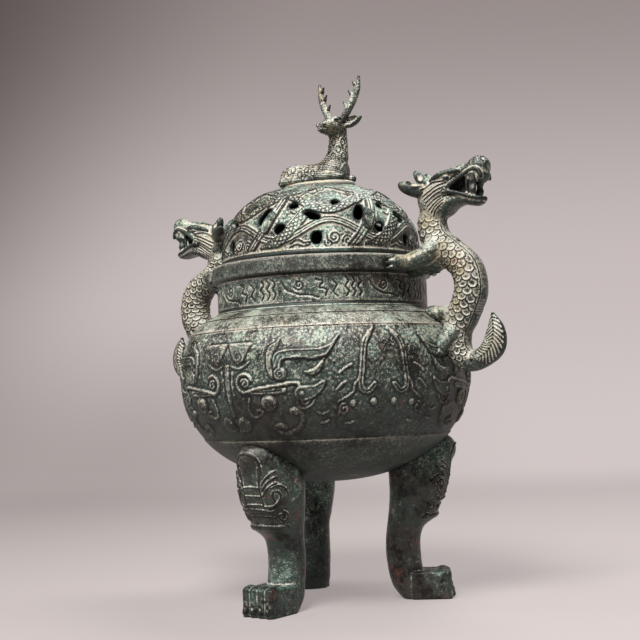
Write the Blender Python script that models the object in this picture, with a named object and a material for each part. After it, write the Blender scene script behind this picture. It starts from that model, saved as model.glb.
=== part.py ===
"""Bronze tripod censer: a round-bellied bowl on three beast legs, with two dragon handles at its sides
and a pierced domed lid that lifts off by a lying stag. Metres, +Z up, origin on the floor under the axis.

The bowl, legs, handles, lid and finial are separate castings. Rivets put in from the inside hold the legs
and handles to the bowl, and one more holds the finial to the lid. The right handle lies along +X and the
front leg along -Y.
"""

import math

import bmesh
import bpy
from mathutils import Matrix, Vector

# Bowl: heights run from the floor to the underside, the widest belly, the neck and the rim
UNDERSIDE_HEIGHT = 0.0805
BELLY_RADIUS = 0.100
BELLY_DEPTH = 0.0745
BELLY_FULLNESS = 2.2
SHOULDER_RISE = 0.050
SHOULDER_FULLNESS = 2.8
NECK_RADIUS = 0.0725
NECK_HEIGHT = 0.0215
COLLAR_OVERHANG = 0.0035
COLLAR_HEIGHT = 0.011
LIP_WIDTH = 0.0055
LIP_THICKNESS = 0.005
BOWL_WALL = 0.004

# Ornament band round the belly, sunk between the shoulder above it and the plain bowl below it
BAND_TOP_RISE = 0.027
BAND_BOTTOM_DROP = 0.0435
BAND_SINK = 0.0008

# Beast masks in relief on the band. Each row of a ridge has the distance round the belly from the mask's
# middle, the rise above the belly's widest circle, and half the ridge's width at its root
MASK_COUNT = 3
MASK_TURN = -94.0
RIDGE_HEIGHT = 0.0015
RIDGE_ROOT = 0.0012
MASK_RIDGES = {
    "brow": (
        (0.0160, -0.0022, 0.0018),
        (0.0075, -0.0055, 0.0022),
        (0.0130, -0.0126, 0.0022),
        (0.0500, -0.0088, 0.0018),
    ),
    "jaw": (
        (0.0450, -0.0252, 0.0018),
        (0.0500, -0.0310, 0.0024),
        (0.0435, -0.0380, 0.0024),
        (0.0320, -0.0358, 0.0016),
    ),
    "blade": (
        (0.0965, 0.0215, 0.0014),
        (0.0910, 0.0080, 0.0023),
        (0.0895, -0.0100, 0.0023),
        (0.0960, -0.0140, 0.0016),
    ),
    "horn": (
        (0.0362, 0.0020, 0.0018),
        (0.0390, 0.0098, 0.0026),
        (0.0640, 0.0106, 0.0026),
        (0.0755, 0.0200, 0.0012),
    ),
}
MASK_NOSE = (
    (0.0, -0.0395, 0.0040),
    (0.0, -0.0315, 0.0125),
    (0.0, -0.0260, 0.0030),
    (0.0, 0.0040, 0.0026),
)
MASK_EYE = (0.0294, -0.0198)
EYE_RADIUS = 0.0062
EYE_HEIGHT = 0.0030

# Lid: a pierced dome on a thin flange, with a ring under it that drops into the mouth
RIM_LEDGE = 0.008
LID_RISE = 0.053
LID_FULLNESS = 2.3
LID_WALL = 0.0032
FLANGE_OVERHANG = 0.0015
FLANGE_THICKNESS = 0.0035
RING_CLEARANCE = 0.001
RING_WALL = 0.0035
RING_DEPTH = 0.008

# Piercings of the lid, one sector's worth: turn in degrees, share of the dome's rise, length, width, tilt
PIERCING_SECTORS = 6
PIERCING_TURN = -91.0
PIERCINGS = (
    (0.0, 0.47, 0.0130, 0.0064, 62.0),
    (12.0, 0.28, 0.0076, 0.0062, 20.0),
    (19.0, 0.58, 0.0064, 0.0048, 0.0),
    (31.0, 0.43, 0.0120, 0.0052, -28.0),
    (33.5, 0.14, 0.0084, 0.0066, 80.0),
    (46.0, 0.60, 0.0058, 0.0050, 45.0),
)

# Finial: an oval plinth on the lid's crown, with a stag lying on it
PLINTH_LENGTH = 0.057
PLINTH_WIDTH = 0.040
PLINTH_THICKNESS = 0.003
STAG_HEAD_TURN = -92.0

# Legs: the shank's axis stands at LEG_CIRCLE from the vessel's axis; the turns run from +X, in degrees
LEG_TURNS = {"front": -93.0, "back_right": 30.0, "back_left": 140.0}
LEG_CIRCLE = 0.049
SHANK_RADIUS = 0.0118
FOOT_HEIGHT = 0.018
FOOT_REACH = 0.032
FOOT_WIDTH = 0.0256
TOE_COUNT = 4

# Handles: turns from +X in degrees, and how much lower each dragon holds its head than the taller one
HANDLE_TURNS = {"right": 0.0, "left": 180.0}
HEAD_DROPS = {"right": 0.0, "left": 0.011}
HANDLE_FOOT_TURN = 12.0

# Rivets and fits
RIVET_RADIUS = 0.003
RIVET_HEAD_RADIUS = 0.0045
RIVET_HEAD_HEIGHT = 0.0022
RIVET_CLEARANCE = 0.0003
SEAT_GAP = 0.0003
LEG_RIVET_CIRCLE = 0.062
LEG_RIVET_REACH = 0.020
HANDLE_UPPER_RIVET_DROP = 0.0105
HANDLE_UPPER_RIVET_REACH = 0.018
HANDLE_LOWER_RIVET_RISE = 0.012
HANDLE_LOWER_RIVET_REACH = 0.007
FINIAL_RIVET_REACH = 0.008

# Facets of turned pieces
TURNED_SIDES = 36
RIVET_SIDES = 7

# Heights and radii that follow from the sizes above
BELLY_Z = UNDERSIDE_HEIGHT + BELLY_DEPTH
COLLAR_RADIUS = NECK_RADIUS + COLLAR_OVERHANG
MOUTH_RADIUS = NECK_RADIUS - BOWL_WALL - LIP_WIDTH
LID_RADIUS = COLLAR_RADIUS - RIM_LEDGE
FLANGE_RADIUS = LID_RADIUS + FLANGE_OVERHANG
RING_RADIUS = MOUTH_RADIUS - RING_CLEARANCE


def shoulder_angle(radius):
    """Parameter of the shoulder's curve where it has this radius."""
    return math.acos((radius / BELLY_RADIUS) ** (SHOULDER_FULLNESS / 2))


def rise_angle(rise, height):
    """Parameter of the shoulder's curve at this rise above the belly, for a shoulder of this height."""
    return math.asin((rise / height) ** (SHOULDER_FULLNESS / 2))


def shoulder_point(angle, radius, height):
    """(radius, z) on the shoulder's curve of a belly with this radius and shoulder height."""
    power = 2 / SHOULDER_FULLNESS
    return radius * math.cos(angle) ** power, BELLY_Z + height * max(0.0, math.sin(angle)) ** power


def belly_point(angle, radius, depth):
    """(radius, z) below the belly's widest circle; the angle runs from -90 degrees at the underside to 0."""
    power = 2 / BELLY_FULLNESS
    return radius * max(0.0, math.cos(angle)) ** power, BELLY_Z - depth * max(0.0, -math.sin(angle)) ** power


def drop_angle(drop, depth):
    """Parameter of the belly's curve at this drop below its widest circle, for a belly of this depth."""
    return -math.asin((drop / depth) ** (BELLY_FULLNESS / 2))


NECK_Z = shoulder_point(shoulder_angle(NECK_RADIUS), BELLY_RADIUS, SHOULDER_RISE)[1]
COLLAR_Z = NECK_Z + NECK_HEIGHT
RIM_Z = COLLAR_Z + COLLAR_HEIGHT
LID_Z = RIM_Z + SEAT_GAP
DOME_Z = LID_Z + FLANGE_THICKNESS
CROWN_RADIUS = PLINTH_LENGTH / 2 + SEAT_GAP


def dome_point(share, inset=0.0):
    """(radius, z) on the dome, from its foot at share 0 to its crown at 1, this far inside the outer face."""
    angle = share * math.pi / 2
    power = 2 / LID_FULLNESS
    radius = (LID_RADIUS - inset) * max(0.0, math.cos(angle)) ** power
    return radius, DOME_Z + (LID_RISE - inset) * math.sin(angle) ** power


def crown_share(inset=0.0):
    """Share of the dome where its flat crown begins."""
    ratio = CROWN_RADIUS / (LID_RADIUS - inset)
    return math.acos(ratio ** (LID_FULLNESS / 2)) / (math.pi / 2)


CROWN_Z = dome_point(crown_share())[1]
PLINTH_Z = CROWN_Z + SEAT_GAP
STAG_Z = PLINTH_Z + PLINTH_THICKNESS + SEAT_GAP


# Scene and materials


def clear_scene():
    for obj in list(bpy.data.objects):
        bpy.data.objects.remove(obj)


def bronze(name, colour, roughness):
    """A patinated bronze: part metal, part mineral crust."""
    material = bpy.data.materials.new(name)
    material.use_nodes = True
    shader = material.node_tree.nodes["Principled BSDF"]
    shader.inputs["Base Color"].default_value = (*colour, 1.0)
    shader.inputs["Roughness"].default_value = roughness
    shader.inputs["Metallic"].default_value = 0.35
    material.diffuse_color = (*colour, 1.0)
    return material


def new_object(name, mesh_data):
    obj = bpy.data.objects.new(name, mesh_data)
    bpy.context.scene.collection.objects.link(obj)
    return obj


def from_bmesh(name, shape):
    bmesh.ops.recalc_face_normals(shape, faces=shape.faces)
    mesh = bpy.data.meshes.new(name)
    shape.to_mesh(mesh)
    shape.free()
    return new_object(name, mesh)


def finish(obj, material, smooth_angle=40.0):
    """Gives a finished piece its material and smooth shading."""
    obj.data.materials.clear()
    obj.data.materials.append(material)
    obj.data.shade_smooth()
    obj.data.set_sharp_from_angle(angle=math.radians(smooth_angle))
    return obj


# Shape helpers


def turned(name, profile, sides=TURNED_SIDES):
    """A solid turned about Z from (radius, z) points; a closed profile off the axis makes a ring."""
    shape = bmesh.new()
    points = [shape.verts.new((radius, 0.0, z)) for radius, z in profile]
    edges = [shape.edges.new(pair) for pair in zip(points, points[1:])]
    if profile[0][0] > 0 and profile[-1][0] > 0:
        edges.append(shape.edges.new((points[-1], points[0])))
    bmesh.ops.spin(
        shape,
        geom=points + edges,
        cent=(0, 0, 0),
        axis=(0, 0, 1),
        angle=2 * math.pi,
        steps=sides,
        use_merge=True,
    )
    bmesh.ops.remove_doubles(shape, verts=shape.verts, dist=1e-6)
    return from_bmesh(name, shape)


def rounded_ring(centre, side, up, half_side, half_up, count, squareness=2.0):
    """A closed ring of points about a centre, from a round section to a squarish one."""
    power = 2 / squareness
    ring = []
    for step in range(count):
        angle = 2 * math.pi * (step + 0.5) / count
        c, s = math.cos(angle), math.sin(angle)
        across = math.copysign(abs(c) ** power, c) * half_side
        along = math.copysign(abs(s) ** power, s) * half_up
        ring.append(centre + side * across + up * along)
    return ring


def lofted(name, rings):
    """A solid skinned over rings of equal count, with flat ends."""
    shape = bmesh.new()
    loops = [[shape.verts.new(point) for point in ring] for ring in rings]
    for first, second in zip(loops, loops[1:]):
        for step in range(len(first)):
            after = (step + 1) % len(first)
            shape.faces.new((first[step], first[after], second[after], second[step]))
    shape.faces.new(loops[0][::-1])
    shape.faces.new(loops[-1])
    return from_bmesh(name, shape)


def smooth_path(points, steps):
    """Points on a smooth curve through rows of numbers, with this many steps from row to row."""
    rows = [Vector(row) for row in points]
    ends = [2 * rows[0] - rows[1], *rows, 2 * rows[-1] - rows[-2]]
    path = []
    for a, b, c, d in zip(ends, ends[1:], ends[2:], ends[3:]):
        for step in range(steps):
            t = step / steps
            bend = 2 * a - 5 * b + 4 * c - d
            twist = 3 * b - a - 3 * c + d
            path.append(b + 0.5 * ((c - a) * t + bend * t**2 + twist * t**3))
    path.append(rows[-1])
    return path


def tube(name, points, radii, count=8):
    """A tapered round bar along points in space."""
    centres = [Vector(point) for point in points]
    rings = []
    side = None
    for index, centre in enumerate(centres):
        before = centres[max(0, index - 1)]
        after = centres[min(len(centres) - 1, index + 1)]
        along = (after - before).normalized()
        if side is None:
            side = along.orthogonal().normalized()
        side = (side - along * side.dot(along)).normalized()
        rings.append(rounded_ring(centre, side, along.cross(side), radii[index], radii[index], count))
    return lofted(name, rings)


def ellipsoid(name, centre, radii, sides=10, rows=6):
    shape = bmesh.new()
    bmesh.ops.create_uvsphere(shape, u_segments=sides, v_segments=rows, radius=1.0)
    bmesh.ops.scale(shape, vec=radii, verts=shape.verts)
    bmesh.ops.translate(shape, vec=centre, verts=shape.verts)
    return from_bmesh(name, shape)


def block(name, low, high):
    shape = bmesh.new()
    bmesh.ops.create_cube(shape, size=1.0)
    bmesh.ops.scale(shape, vec=Vector(high) - Vector(low), verts=shape.verts)
    bmesh.ops.translate(shape, vec=(Vector(low) + Vector(high)) / 2, verts=shape.verts)
    return from_bmesh(name, shape)


def combine(target, tools, operation):
    """Joins the tools to the target with UNION, or cuts them from it with DIFFERENCE, and removes them."""
    for tool in tools:
        modifier = target.modifiers.new(tool.name, "BOOLEAN")
        modifier.operation = operation
        modifier.object = tool
    graph = bpy.context.evaluated_depsgraph_get()
    mesh = bpy.data.meshes.new_from_object(target.evaluated_get(graph))
    target.modifiers.clear()
    target.data = mesh
    for tool in tools:
        bpy.data.objects.remove(tool)
    return target


def turned_copy(name, first, turn):
    """A copy of a piece, turned about the vessel's axis by an angle in degrees."""
    obj = new_object(name, first.data.copy())
    obj.data.transform(Matrix.Rotation(math.radians(turn), 4, "Z"))
    return obj


# Bowl


def arc_points(point, first, last, count, *sizes):
    """Points of a curve from one parameter to another."""
    return [point(first + (last - first) * step / count, *sizes) for step in range(count + 1)]


def bowl_outside():
    """The bowl's outer profile from its lowest point to the inner edge of its rim."""
    band_bottom = drop_angle(BAND_BOTTOM_DROP, BELLY_DEPTH)
    band_top = rise_angle(BAND_TOP_RISE, SHOULDER_RISE)
    neck = shoulder_angle(NECK_RADIUS)
    below = arc_points(belly_point, -math.pi / 2, band_bottom, 5, BELLY_RADIUS, BELLY_DEPTH)
    lower = arc_points(belly_point, band_bottom, 0.0, 4, BELLY_RADIUS, BELLY_DEPTH)
    upper = arc_points(shoulder_point, 0.0, band_top, 3, BELLY_RADIUS, SHOULDER_RISE)[1:]
    above = arc_points(shoulder_point, band_top, neck, 3, BELLY_RADIUS, SHOULDER_RISE)
    band = [(radius - BAND_SINK, z) for radius, z in lower + upper]
    soften = COLLAR_HEIGHT / 5
    collar = [
        (NECK_RADIUS, COLLAR_Z),
        (COLLAR_RADIUS - soften, COLLAR_Z),
        (COLLAR_RADIUS, COLLAR_Z + soften),
        (COLLAR_RADIUS, RIM_Z - soften),
        (COLLAR_RADIUS - soften, RIM_Z),
    ]
    return below + band + above + collar


def bowl_inside():
    """The bowl's inner profile from the rim down to the bottom."""
    radius = BELLY_RADIUS - BOWL_WALL
    rise = SHOULDER_RISE - BOWL_WALL
    depth = BELLY_DEPTH - BOWL_WALL
    neck_radius = NECK_RADIUS - BOWL_WALL
    lip_z = RIM_Z - LIP_THICKNESS
    neck = math.acos((neck_radius / radius) ** (SHOULDER_FULLNESS / 2))
    shoulder = arc_points(shoulder_point, neck, 0.0, 4, radius, rise)
    belly = arc_points(belly_point, 0.0, -math.pi / 2, 7, radius, depth)[1:]
    return [(MOUTH_RADIUS, RIM_Z), (MOUTH_RADIUS, lip_z), (neck_radius, lip_z), *shoulder, *belly]


def bowl_seat(name):
    """A cutter filling the bowl's outer form, grown by the seat gap, for the pieces fixed to the bowl."""
    profile = bowl_outside()
    grown = []
    for index, (radius, z) in enumerate(profile):
        before = Vector(profile[max(0, index - 1)])
        after = Vector(profile[min(len(profile) - 1, index + 1)])
        along = (after - before).normalized()
        grown.append((max(0.0, radius + along.y * SEAT_GAP), z - along.x * SEAT_GAP))
    grown[0] = (0.0, grown[0][1])
    return turned(name, grown + [(0.0, grown[-1][1])])


def on_band(turn, around, rise, lift):
    """A point on the ornament band, at a distance round the belly from a mask and lifted off the face."""
    if rise < 0:
        radius, z = belly_point(drop_angle(-rise, BELLY_DEPTH), BELLY_RADIUS, BELLY_DEPTH)
    else:
        radius, z = shoulder_point(rise_angle(rise, SHOULDER_RISE), BELLY_RADIUS, SHOULDER_RISE)
    angle = math.radians(turn) + around / BELLY_RADIUS
    radius += lift - BAND_SINK
    return Vector((radius * math.cos(angle), radius * math.sin(angle), z))


def mask_ridge(name, turn, rows, hand):
    """A ridge of the mask, with a three-cornered section rooted in the bowl's wall."""
    rings = []
    for index, (around, rise, half) in enumerate(rows):
        before, after = rows[max(0, index - 1)], rows[min(len(rows) - 1, index + 1)]
        along = Vector((after[0] - before[0], after[1] - before[1])).normalized()
        across, up = -along.y * half, along.x * half
        rings.append([
            on_band(turn, (around + across) * hand, rise + up, -RIDGE_ROOT),
            on_band(turn, around * hand, rise, RIDGE_HEIGHT),
            on_band(turn, (around - across) * hand, rise - up, -RIDGE_ROOT),
        ])
    return lofted(name, rings)


def mask_eye(name, turn, hand):
    """A bulging six-sided eye of the mask."""
    around, rise = MASK_EYE
    rings = []
    for size, lift in ((EYE_RADIUS, -RIDGE_ROOT), (EYE_RADIUS * 0.55, EYE_HEIGHT)):
        ring = []
        for step in range(6):
            angle = math.pi / 3 * step
            beside, above = size * math.cos(angle), size * math.sin(angle)
            ring.append(on_band(turn, around * hand + beside, rise + above, lift))
        rings.append(ring)
    return lofted(name, rings)


def under_handle(turn, around):
    """Whether a place round the belly lies behind the foot of a handle."""
    place = turn + math.degrees(around / BELLY_RADIUS)
    ways = [(place - handle + 180.0) % 360.0 - 180.0 for handle in HANDLE_TURNS.values()]
    return min(abs(way) for way in ways) < HANDLE_FOOT_TURN


def mask_relief():
    """The masks round the belly; horns that would run in under a handle's foot are left off."""
    pieces = []
    for mask in range(MASK_COUNT):
        turn = MASK_TURN + 360.0 / MASK_COUNT * mask
        pieces.append(mask_ridge(f"nose_{mask}", turn, MASK_NOSE, 1))
        for hand in (1, -1):
            for part, rows in MASK_RIDGES.items():
                covered = any(rise > 0 and under_handle(turn, around * hand) for around, rise, _ in rows)
                if not covered:
                    pieces.append(mask_ridge(f"{part}_{mask}_{hand}", turn, rows, hand))
            pieces.append(mask_eye(f"eye_{mask}_{hand}", turn, hand))
    return pieces


def make_bowl(material):
    bowl = turned("bowl", bowl_outside() + bowl_inside())
    combine(bowl, mask_relief(), "UNION")
    holes = [rivet_hole(f"hole_{name}", *seat) for name, seat in bowl_rivets().items()]
    combine(bowl, holes, "DIFFERENCE")
    return finish(bowl, material)


# Rivets: each has its place on the bowl's inner face, the way it points, and its reach past the head


def turned_about_axis(vector, turn):
    return Matrix.Rotation(math.radians(turn), 3, "Z") @ Vector(vector)


def inner_seat(radius, z, slope):
    """Place and outward direction for a rivet head on the concave inner face, clear of it all round."""
    outward = Vector((1.0, 0.0, slope)).normalized()
    facet_dip = RIVET_HEAD_RADIUS * math.tan(math.pi / TURNED_SIDES)
    return Vector((radius, 0.0, z)) - outward * (SEAT_GAP + 2 * facet_dip), outward


def leg_rivet_seat():
    depth = BELLY_DEPTH - BOWL_WALL
    radius = BELLY_RADIUS - BOWL_WALL
    angle = -math.acos((LEG_RIVET_CIRCLE / radius) ** (BELLY_FULLNESS / 2))
    seat_radius, z = belly_point(angle, radius, depth)
    share = (BELLY_Z - z) / depth / (seat_radius / radius)
    slope = -(share ** (BELLY_FULLNESS - 1)) * radius / depth
    place, outward = inner_seat(seat_radius, z, slope)
    return place, outward, BOWL_WALL + LEG_RIVET_REACH


def handle_lower_seat():
    rise = SHOULDER_RISE - BOWL_WALL
    radius = BELLY_RADIUS - BOWL_WALL
    seat_radius, z = shoulder_point(rise_angle(HANDLE_LOWER_RIVET_RISE, rise), radius, rise)
    share = (HANDLE_LOWER_RIVET_RISE / rise) / (seat_radius / radius)
    slope = share ** (SHOULDER_FULLNESS - 1) * radius / rise
    place, outward = inner_seat(seat_radius, z, slope)
    return place, outward, BOWL_WALL + HANDLE_LOWER_RIVET_REACH


def handle_upper_seat():
    place, outward = inner_seat(NECK_RADIUS - BOWL_WALL, RIM_Z - HANDLE_UPPER_RIVET_DROP, 0.0)
    collar = COLLAR_RADIUS - NECK_RADIUS
    return place, outward, BOWL_WALL + collar + HANDLE_UPPER_RIVET_REACH


def turned_seat(seat, turn):
    place, outward, reach = seat
    return turned_about_axis(place, turn), turned_about_axis(outward, turn), reach


def bowl_rivets():
    """Every rivet in the bowl's wall by name: its place, direction and reach."""
    found = {}
    for side, turn in HANDLE_TURNS.items():
        found[f"handle_rivet_upper_{side}"] = turned_seat(handle_upper_seat(), turn)
        found[f"handle_rivet_lower_{side}"] = turned_seat(handle_lower_seat(), turn)
    for corner, turn in LEG_TURNS.items():
        found[f"leg_rivet_{corner}"] = turned_seat(leg_rivet_seat(), turn)
    return found


def point_along(obj, place, outward):
    """Turns a piece made along +Z so that it stands at a place and points outward."""
    obj.data.transform(Matrix.Translation(place) @ outward.to_track_quat("Z", "Y").to_matrix().to_4x4())
    return obj


def rivet(name, place, outward, reach, material):
    """A domed rivet: its head lies behind the place and its shank runs outward."""
    dome = [
        (RIVET_HEAD_RADIUS * math.cos(angle), -RIVET_HEAD_HEIGHT * math.sin(angle))
        for angle in (math.pi / 2, math.pi / 4, 0.0)
    ]
    dome[0] = (0.0, -RIVET_HEAD_HEIGHT)
    shank = [(RIVET_RADIUS, 0.0), (RIVET_RADIUS, reach), (0.0, reach)]
    obj = point_along(turned(name, dome + shank, RIVET_SIDES), place, outward)
    return finish(obj, material)


def rivet_hole(name, place, outward, reach):
    """The hole for a rivet's shank, a little wider and deeper than the shank."""
    radius = RIVET_RADIUS + RIVET_CLEARANCE
    profile = [(0.0, 0.0), (radius, 0.0), (radius, reach + SEAT_GAP), (0.0, reach + SEAT_GAP)]
    return point_along(turned(name, profile, RIVET_SIDES), place, outward)


# Legs: built along +X with the vessel's axis at the origin, then turned into place


THIGH = (
    # height above the bowl's underside, inner and outer distance from the shank's axis, half-width
    (0.0325, 0.0100, 0.0260, 0.0080),
    (0.0265, 0.0000, 0.0345, 0.0140),
    (0.0195, -0.0060, 0.0365, 0.0180),
    (0.0105, -0.0080, 0.0350, 0.0200),
    (-0.0005, -0.0080, 0.0330, 0.0205),
    (-0.0105, -0.0080, 0.0300, 0.0195),
    (-0.0195, -0.0088, 0.0260, 0.0172),
    (-0.0265, -0.0096, 0.0225, 0.0152),
    (-0.0305, -0.0103, 0.0170, 0.0134),
    (-0.0345, -0.0110, 0.0135, 0.0122),
)


BROW_OUT = 0.031
BROW_RISE = 0.0195
BROW_RADII = (0.0080, 0.0085, 0.0100)


def leg_shaft():
    """Thigh, shank and heel as one skin of rings from inside the bowl down past the floor."""
    knee_z = UNDERSIDE_HEIGHT + THIGH[-1][0]
    rows = [(UNDERSIDE_HEIGHT + rise, inner, outer, half) for rise, inner, outer, half in THIGH]
    middle_z = (knee_z + FOOT_HEIGHT) / 2
    rows.append((middle_z, -SHANK_RADIUS, SHANK_RADIUS, SHANK_RADIUS))
    rows.append((FOOT_HEIGHT, -SHANK_RADIUS * 0.9, SHANK_RADIUS * 1.1, SHANK_RADIUS))
    rows.append((FOOT_HEIGHT * 0.5, -SHANK_RADIUS * 0.7, SHANK_RADIUS * 1.1, SHANK_RADIUS))
    rows.append((FOOT_HEIGHT * 0.15, -SHANK_RADIUS * 0.35, SHANK_RADIUS * 1.1, SHANK_RADIUS * 0.95))
    rows.append((-FOOT_HEIGHT * 0.1, 0.0, SHANK_RADIUS, SHANK_RADIUS * 0.85))
    rings = []
    for z, inner, outer, half in rows:
        centre = Vector((LEG_CIRCLE + (inner + outer) / 2, 0.0, z))
        deep = (outer - inner) / 2
        rings.append(rounded_ring(centre, Vector((1, 0, 0)), Vector((0, 1, 0)), deep, half, 10, 2.3))
    return lofted("leg_shaft", rings)


def leg_toe(index):
    """One round toe with a raised knuckle, beside the others across the foot."""
    half = FOOT_WIDTH / TOE_COUNT / 2
    y = (index - (TOE_COUNT - 1) / 2) * 2 * half
    splay = 0.88
    rows = (
        # share of the reach, share of the foot's height at the top, share of the toe's half-width
        (0.10, 0.90, 1.10),
        (0.84, 1.10, 1.14),
        (0.96, 0.92, 1.00),
        (1.00, 0.62, 0.62),
    )
    rings = []
    for reach, top, wide in rows:
        low = -FOOT_HEIGHT * 0.12 if reach < 0.95 else FOOT_HEIGHT * (reach - 0.95) * 3
        tall = (FOOT_HEIGHT * top - low) / 2
        across = y * (splay + 0.12 * reach)
        centre = Vector((LEG_CIRCLE + FOOT_REACH * reach, across, low + tall))
        rings.append(rounded_ring(centre, Vector((0, 1, 0)), Vector((0, 0, 1)), half * wide, tall, 7, 2.8))
    return lofted(f"leg_toe_{index}", rings)


def make_legs(material):
    leg = leg_shaft()
    brow_place = (LEG_CIRCLE + BROW_OUT, 0.0, UNDERSIDE_HEIGHT + BROW_RISE)
    brow = ellipsoid("leg_brow", brow_place, BROW_RADII, 8, 5)
    combine(leg, [brow, *[leg_toe(index) for index in range(TOE_COUNT)]], "UNION")
    reach = 2 * BELLY_RADIUS
    for corner, turn in LEG_TURNS.items():
        ground = block("ground", (-reach, -reach, -FOOT_HEIGHT), (reach, reach, 0.0))
        hole = rivet_hole("leg_hole", *turned_seat(leg_rivet_seat(), turn))
        piece = turned_copy(f"leg_{corner}", leg, turn)
        finish(combine(piece, [bowl_seat("leg_seat"), ground, hole], "DIFFERENCE"), material)
    bpy.data.objects.remove(leg)


# Handles: a dragon standing in the plane through +X, told from the belly's widest circle below
# and from the collar's rim above


def by_belly(out, up, across=0.0):
    return Vector((BELLY_RADIUS + out, across, BELLY_Z + up))


def by_rim(out, up, across=0.0):
    return Vector((COLLAR_RADIUS + out, across, RIM_Z + up))


DRAGON_LOWER_SPINE = (
    # out from the belly, up from it, half-depth in the dragon's plane, half-width across it
    (0.0300, 0.0320, 0.0010, 0.0010),
    (0.0318, 0.0215, 0.0062, 0.0040),
    (0.0302, 0.0115, 0.0080, 0.0050),
    (0.0230, 0.0048, 0.0068, 0.0058),
    (0.0130, 0.0026, 0.0070, 0.0068),
    (0.0055, 0.0095, 0.0082, 0.0082),
    (0.0048, 0.0220, 0.0092, 0.0090),
    (0.0105, 0.0340, 0.0102, 0.0100),
)
DRAGON_UPPER_SPINE = (
    # out from the collar, up from the rim, half-depth, half-width
    (0.0398, -0.0260, 0.0106, 0.0102),
    (0.0375, -0.0120, 0.0103, 0.0100),
    (0.0275, -0.0015, 0.0098, 0.0095),
    (0.0170, 0.0080, 0.0098, 0.0092),
    (0.0138, 0.0190, 0.0096, 0.0090),
    (0.0166, 0.0300, 0.0094, 0.0090),
    (0.0222, 0.0380, 0.0080, 0.0080),
)
DRAGON_NECK_RISE = 0.030
DRAGON_EAR = (
    # out from the collar, up from the rim, across, radius
    (0.0105, 0.0400, 0.0060, 0.0040),
    (0.0065, 0.0420, 0.0115, 0.0042),
    (0.0022, 0.0437, 0.0150, 0.0032),
    (0.0006, 0.0456, 0.0165, 0.0008),
)
DRAGON_HORN = (
    (0.0145, 0.0445, 0.0052, 0.0034),
    (0.0092, 0.0495, 0.0062, 0.0026),
    (0.0056, 0.0528, 0.0068, 0.0010),
)
DRAGON_FANG = (
    (0.0474, 0.0505, 0.0045, 0.0026),
    (0.0478, 0.0415, 0.0042, 0.0022),
    (0.0466, 0.0318, 0.0035, 0.0014),
)
DRAGON_FORELEG = (
    (0.0190, 0.0040, 0.0050, 0.0060),
    (0.0110, -0.0035, 0.0120, 0.0052),
    (0.0030, -0.0065, 0.0160, 0.0046),
)
PAW_TURN = 13.0
PAW_DROP = 0.00682
PAW_RADIUS = 0.0042
DRAGON_CHEST = (
    # out from the collar, up from the rim, half-height, half-width
    (0.0260, 0.0000, 0.0080, 0.0085),
    (0.0130, -0.0050, 0.0075, 0.0080),
)
BREAST_LIFT = 0.0025
BREAST_HALF_HEIGHT = 0.0066
BREAST_HALF_WIDTH = 0.0078
PEG_OUT = 0.008
PEG_RISE = 0.0345
PEG_RADIUS = 0.0052
PEG_TAPER = 0.0006
DRAGON_SKULL = (
    # out from the collar, underside and top above the rim, half-width
    (0.0066, 0.0300, 0.0400, 0.0060),
    (0.0114, 0.0250, 0.0446, 0.0092),
    (0.0176, 0.0275, 0.0482, 0.0108),
    (0.0245, 0.0335, 0.0503, 0.0114),
    (0.0305, 0.0395, 0.0515, 0.0104),
    (0.0362, 0.0445, 0.0528, 0.0086),
    (0.0420, 0.0470, 0.0556, 0.0076),
    (0.0474, 0.0478, 0.0590, 0.0075),
    (0.0522, 0.0470, 0.0587, 0.0068),
    (0.0554, 0.0490, 0.0545, 0.0042),
)
DRAGON_JAW = (
    (0.0170, 0.0220, 0.0360, 0.0085),
    (0.0258, 0.0230, 0.0385, 0.0092),
    (0.0318, 0.0272, 0.0380, 0.0084),
    (0.0380, 0.0290, 0.0365, 0.0072),
    (0.0436, 0.0278, 0.0347, 0.0064),
    (0.0482, 0.0272, 0.0330, 0.0052),
    (0.0512, 0.0288, 0.0314, 0.0030),
)


def dragon_body():
    """The S-shaped body from the leaf of the tail to the nape, as rings square to its spine."""
    lower = [(*by_belly(out, up), deep, wide) for out, up, deep, wide in DRAGON_LOWER_SPINE]
    upper = [(*by_rim(out, up), deep, wide) for out, up, deep, wide in DRAGON_UPPER_SPINE]
    rows = [(x, z, deep, wide) for x, _, z, deep, wide in lower + upper]
    path = smooth_path(rows, 2)
    rings = []
    for index, (x, z, deep, wide) in enumerate(path):
        before, after = path[max(0, index - 1)], path[min(len(path) - 1, index + 1)]
        along = Vector((after[0] - before[0], 0.0, after[1] - before[1])).normalized()
        inward = along.cross(Vector((0, 1, 0)))
        rings.append(rounded_ring(Vector((x, 0.0, z)), Vector((0, 1, 0)), inward, wide, deep, 9))
    return lofted("dragon_body", rings)


def dragon_bone(name, rows, squareness):
    """A part of the head skinned over upright sections from the nape to the muzzle."""
    rings = []
    for out, low, top, half in rows:
        centre = by_rim(out, (low + top) / 2)
        tall = (top - low) / 2
        rings.append(rounded_ring(centre, Vector((0, 1, 0)), Vector((0, 0, 1)), half, tall, 9, squareness))
    return lofted(name, rings)


def dragon_limb(name, hand, rows):
    """A tapered part beside the dragon's head or breast."""
    path = [by_rim(out, up, across * hand) for out, up, across, _ in rows]
    return tube(f"{name}_{hand}", path, [row[3] for row in rows], 7)


def dragon_foreleg(hand):
    """The foreleg that reaches round to grip the collar."""
    grip = math.radians(PAW_TURN) * hand
    deep = COLLAR_RADIUS - BOWL_WALL
    paw = Vector((deep * math.cos(grip), deep * math.sin(grip), RIM_Z - PAW_DROP))
    path = [by_rim(out, up, across * hand) for out, up, across, _ in DRAGON_FORELEG]
    radii = [row[3] for row in DRAGON_FORELEG]
    return tube(f"foreleg_{hand}", [*path, paw], [*radii, PAW_RADIUS], 7)


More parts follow.
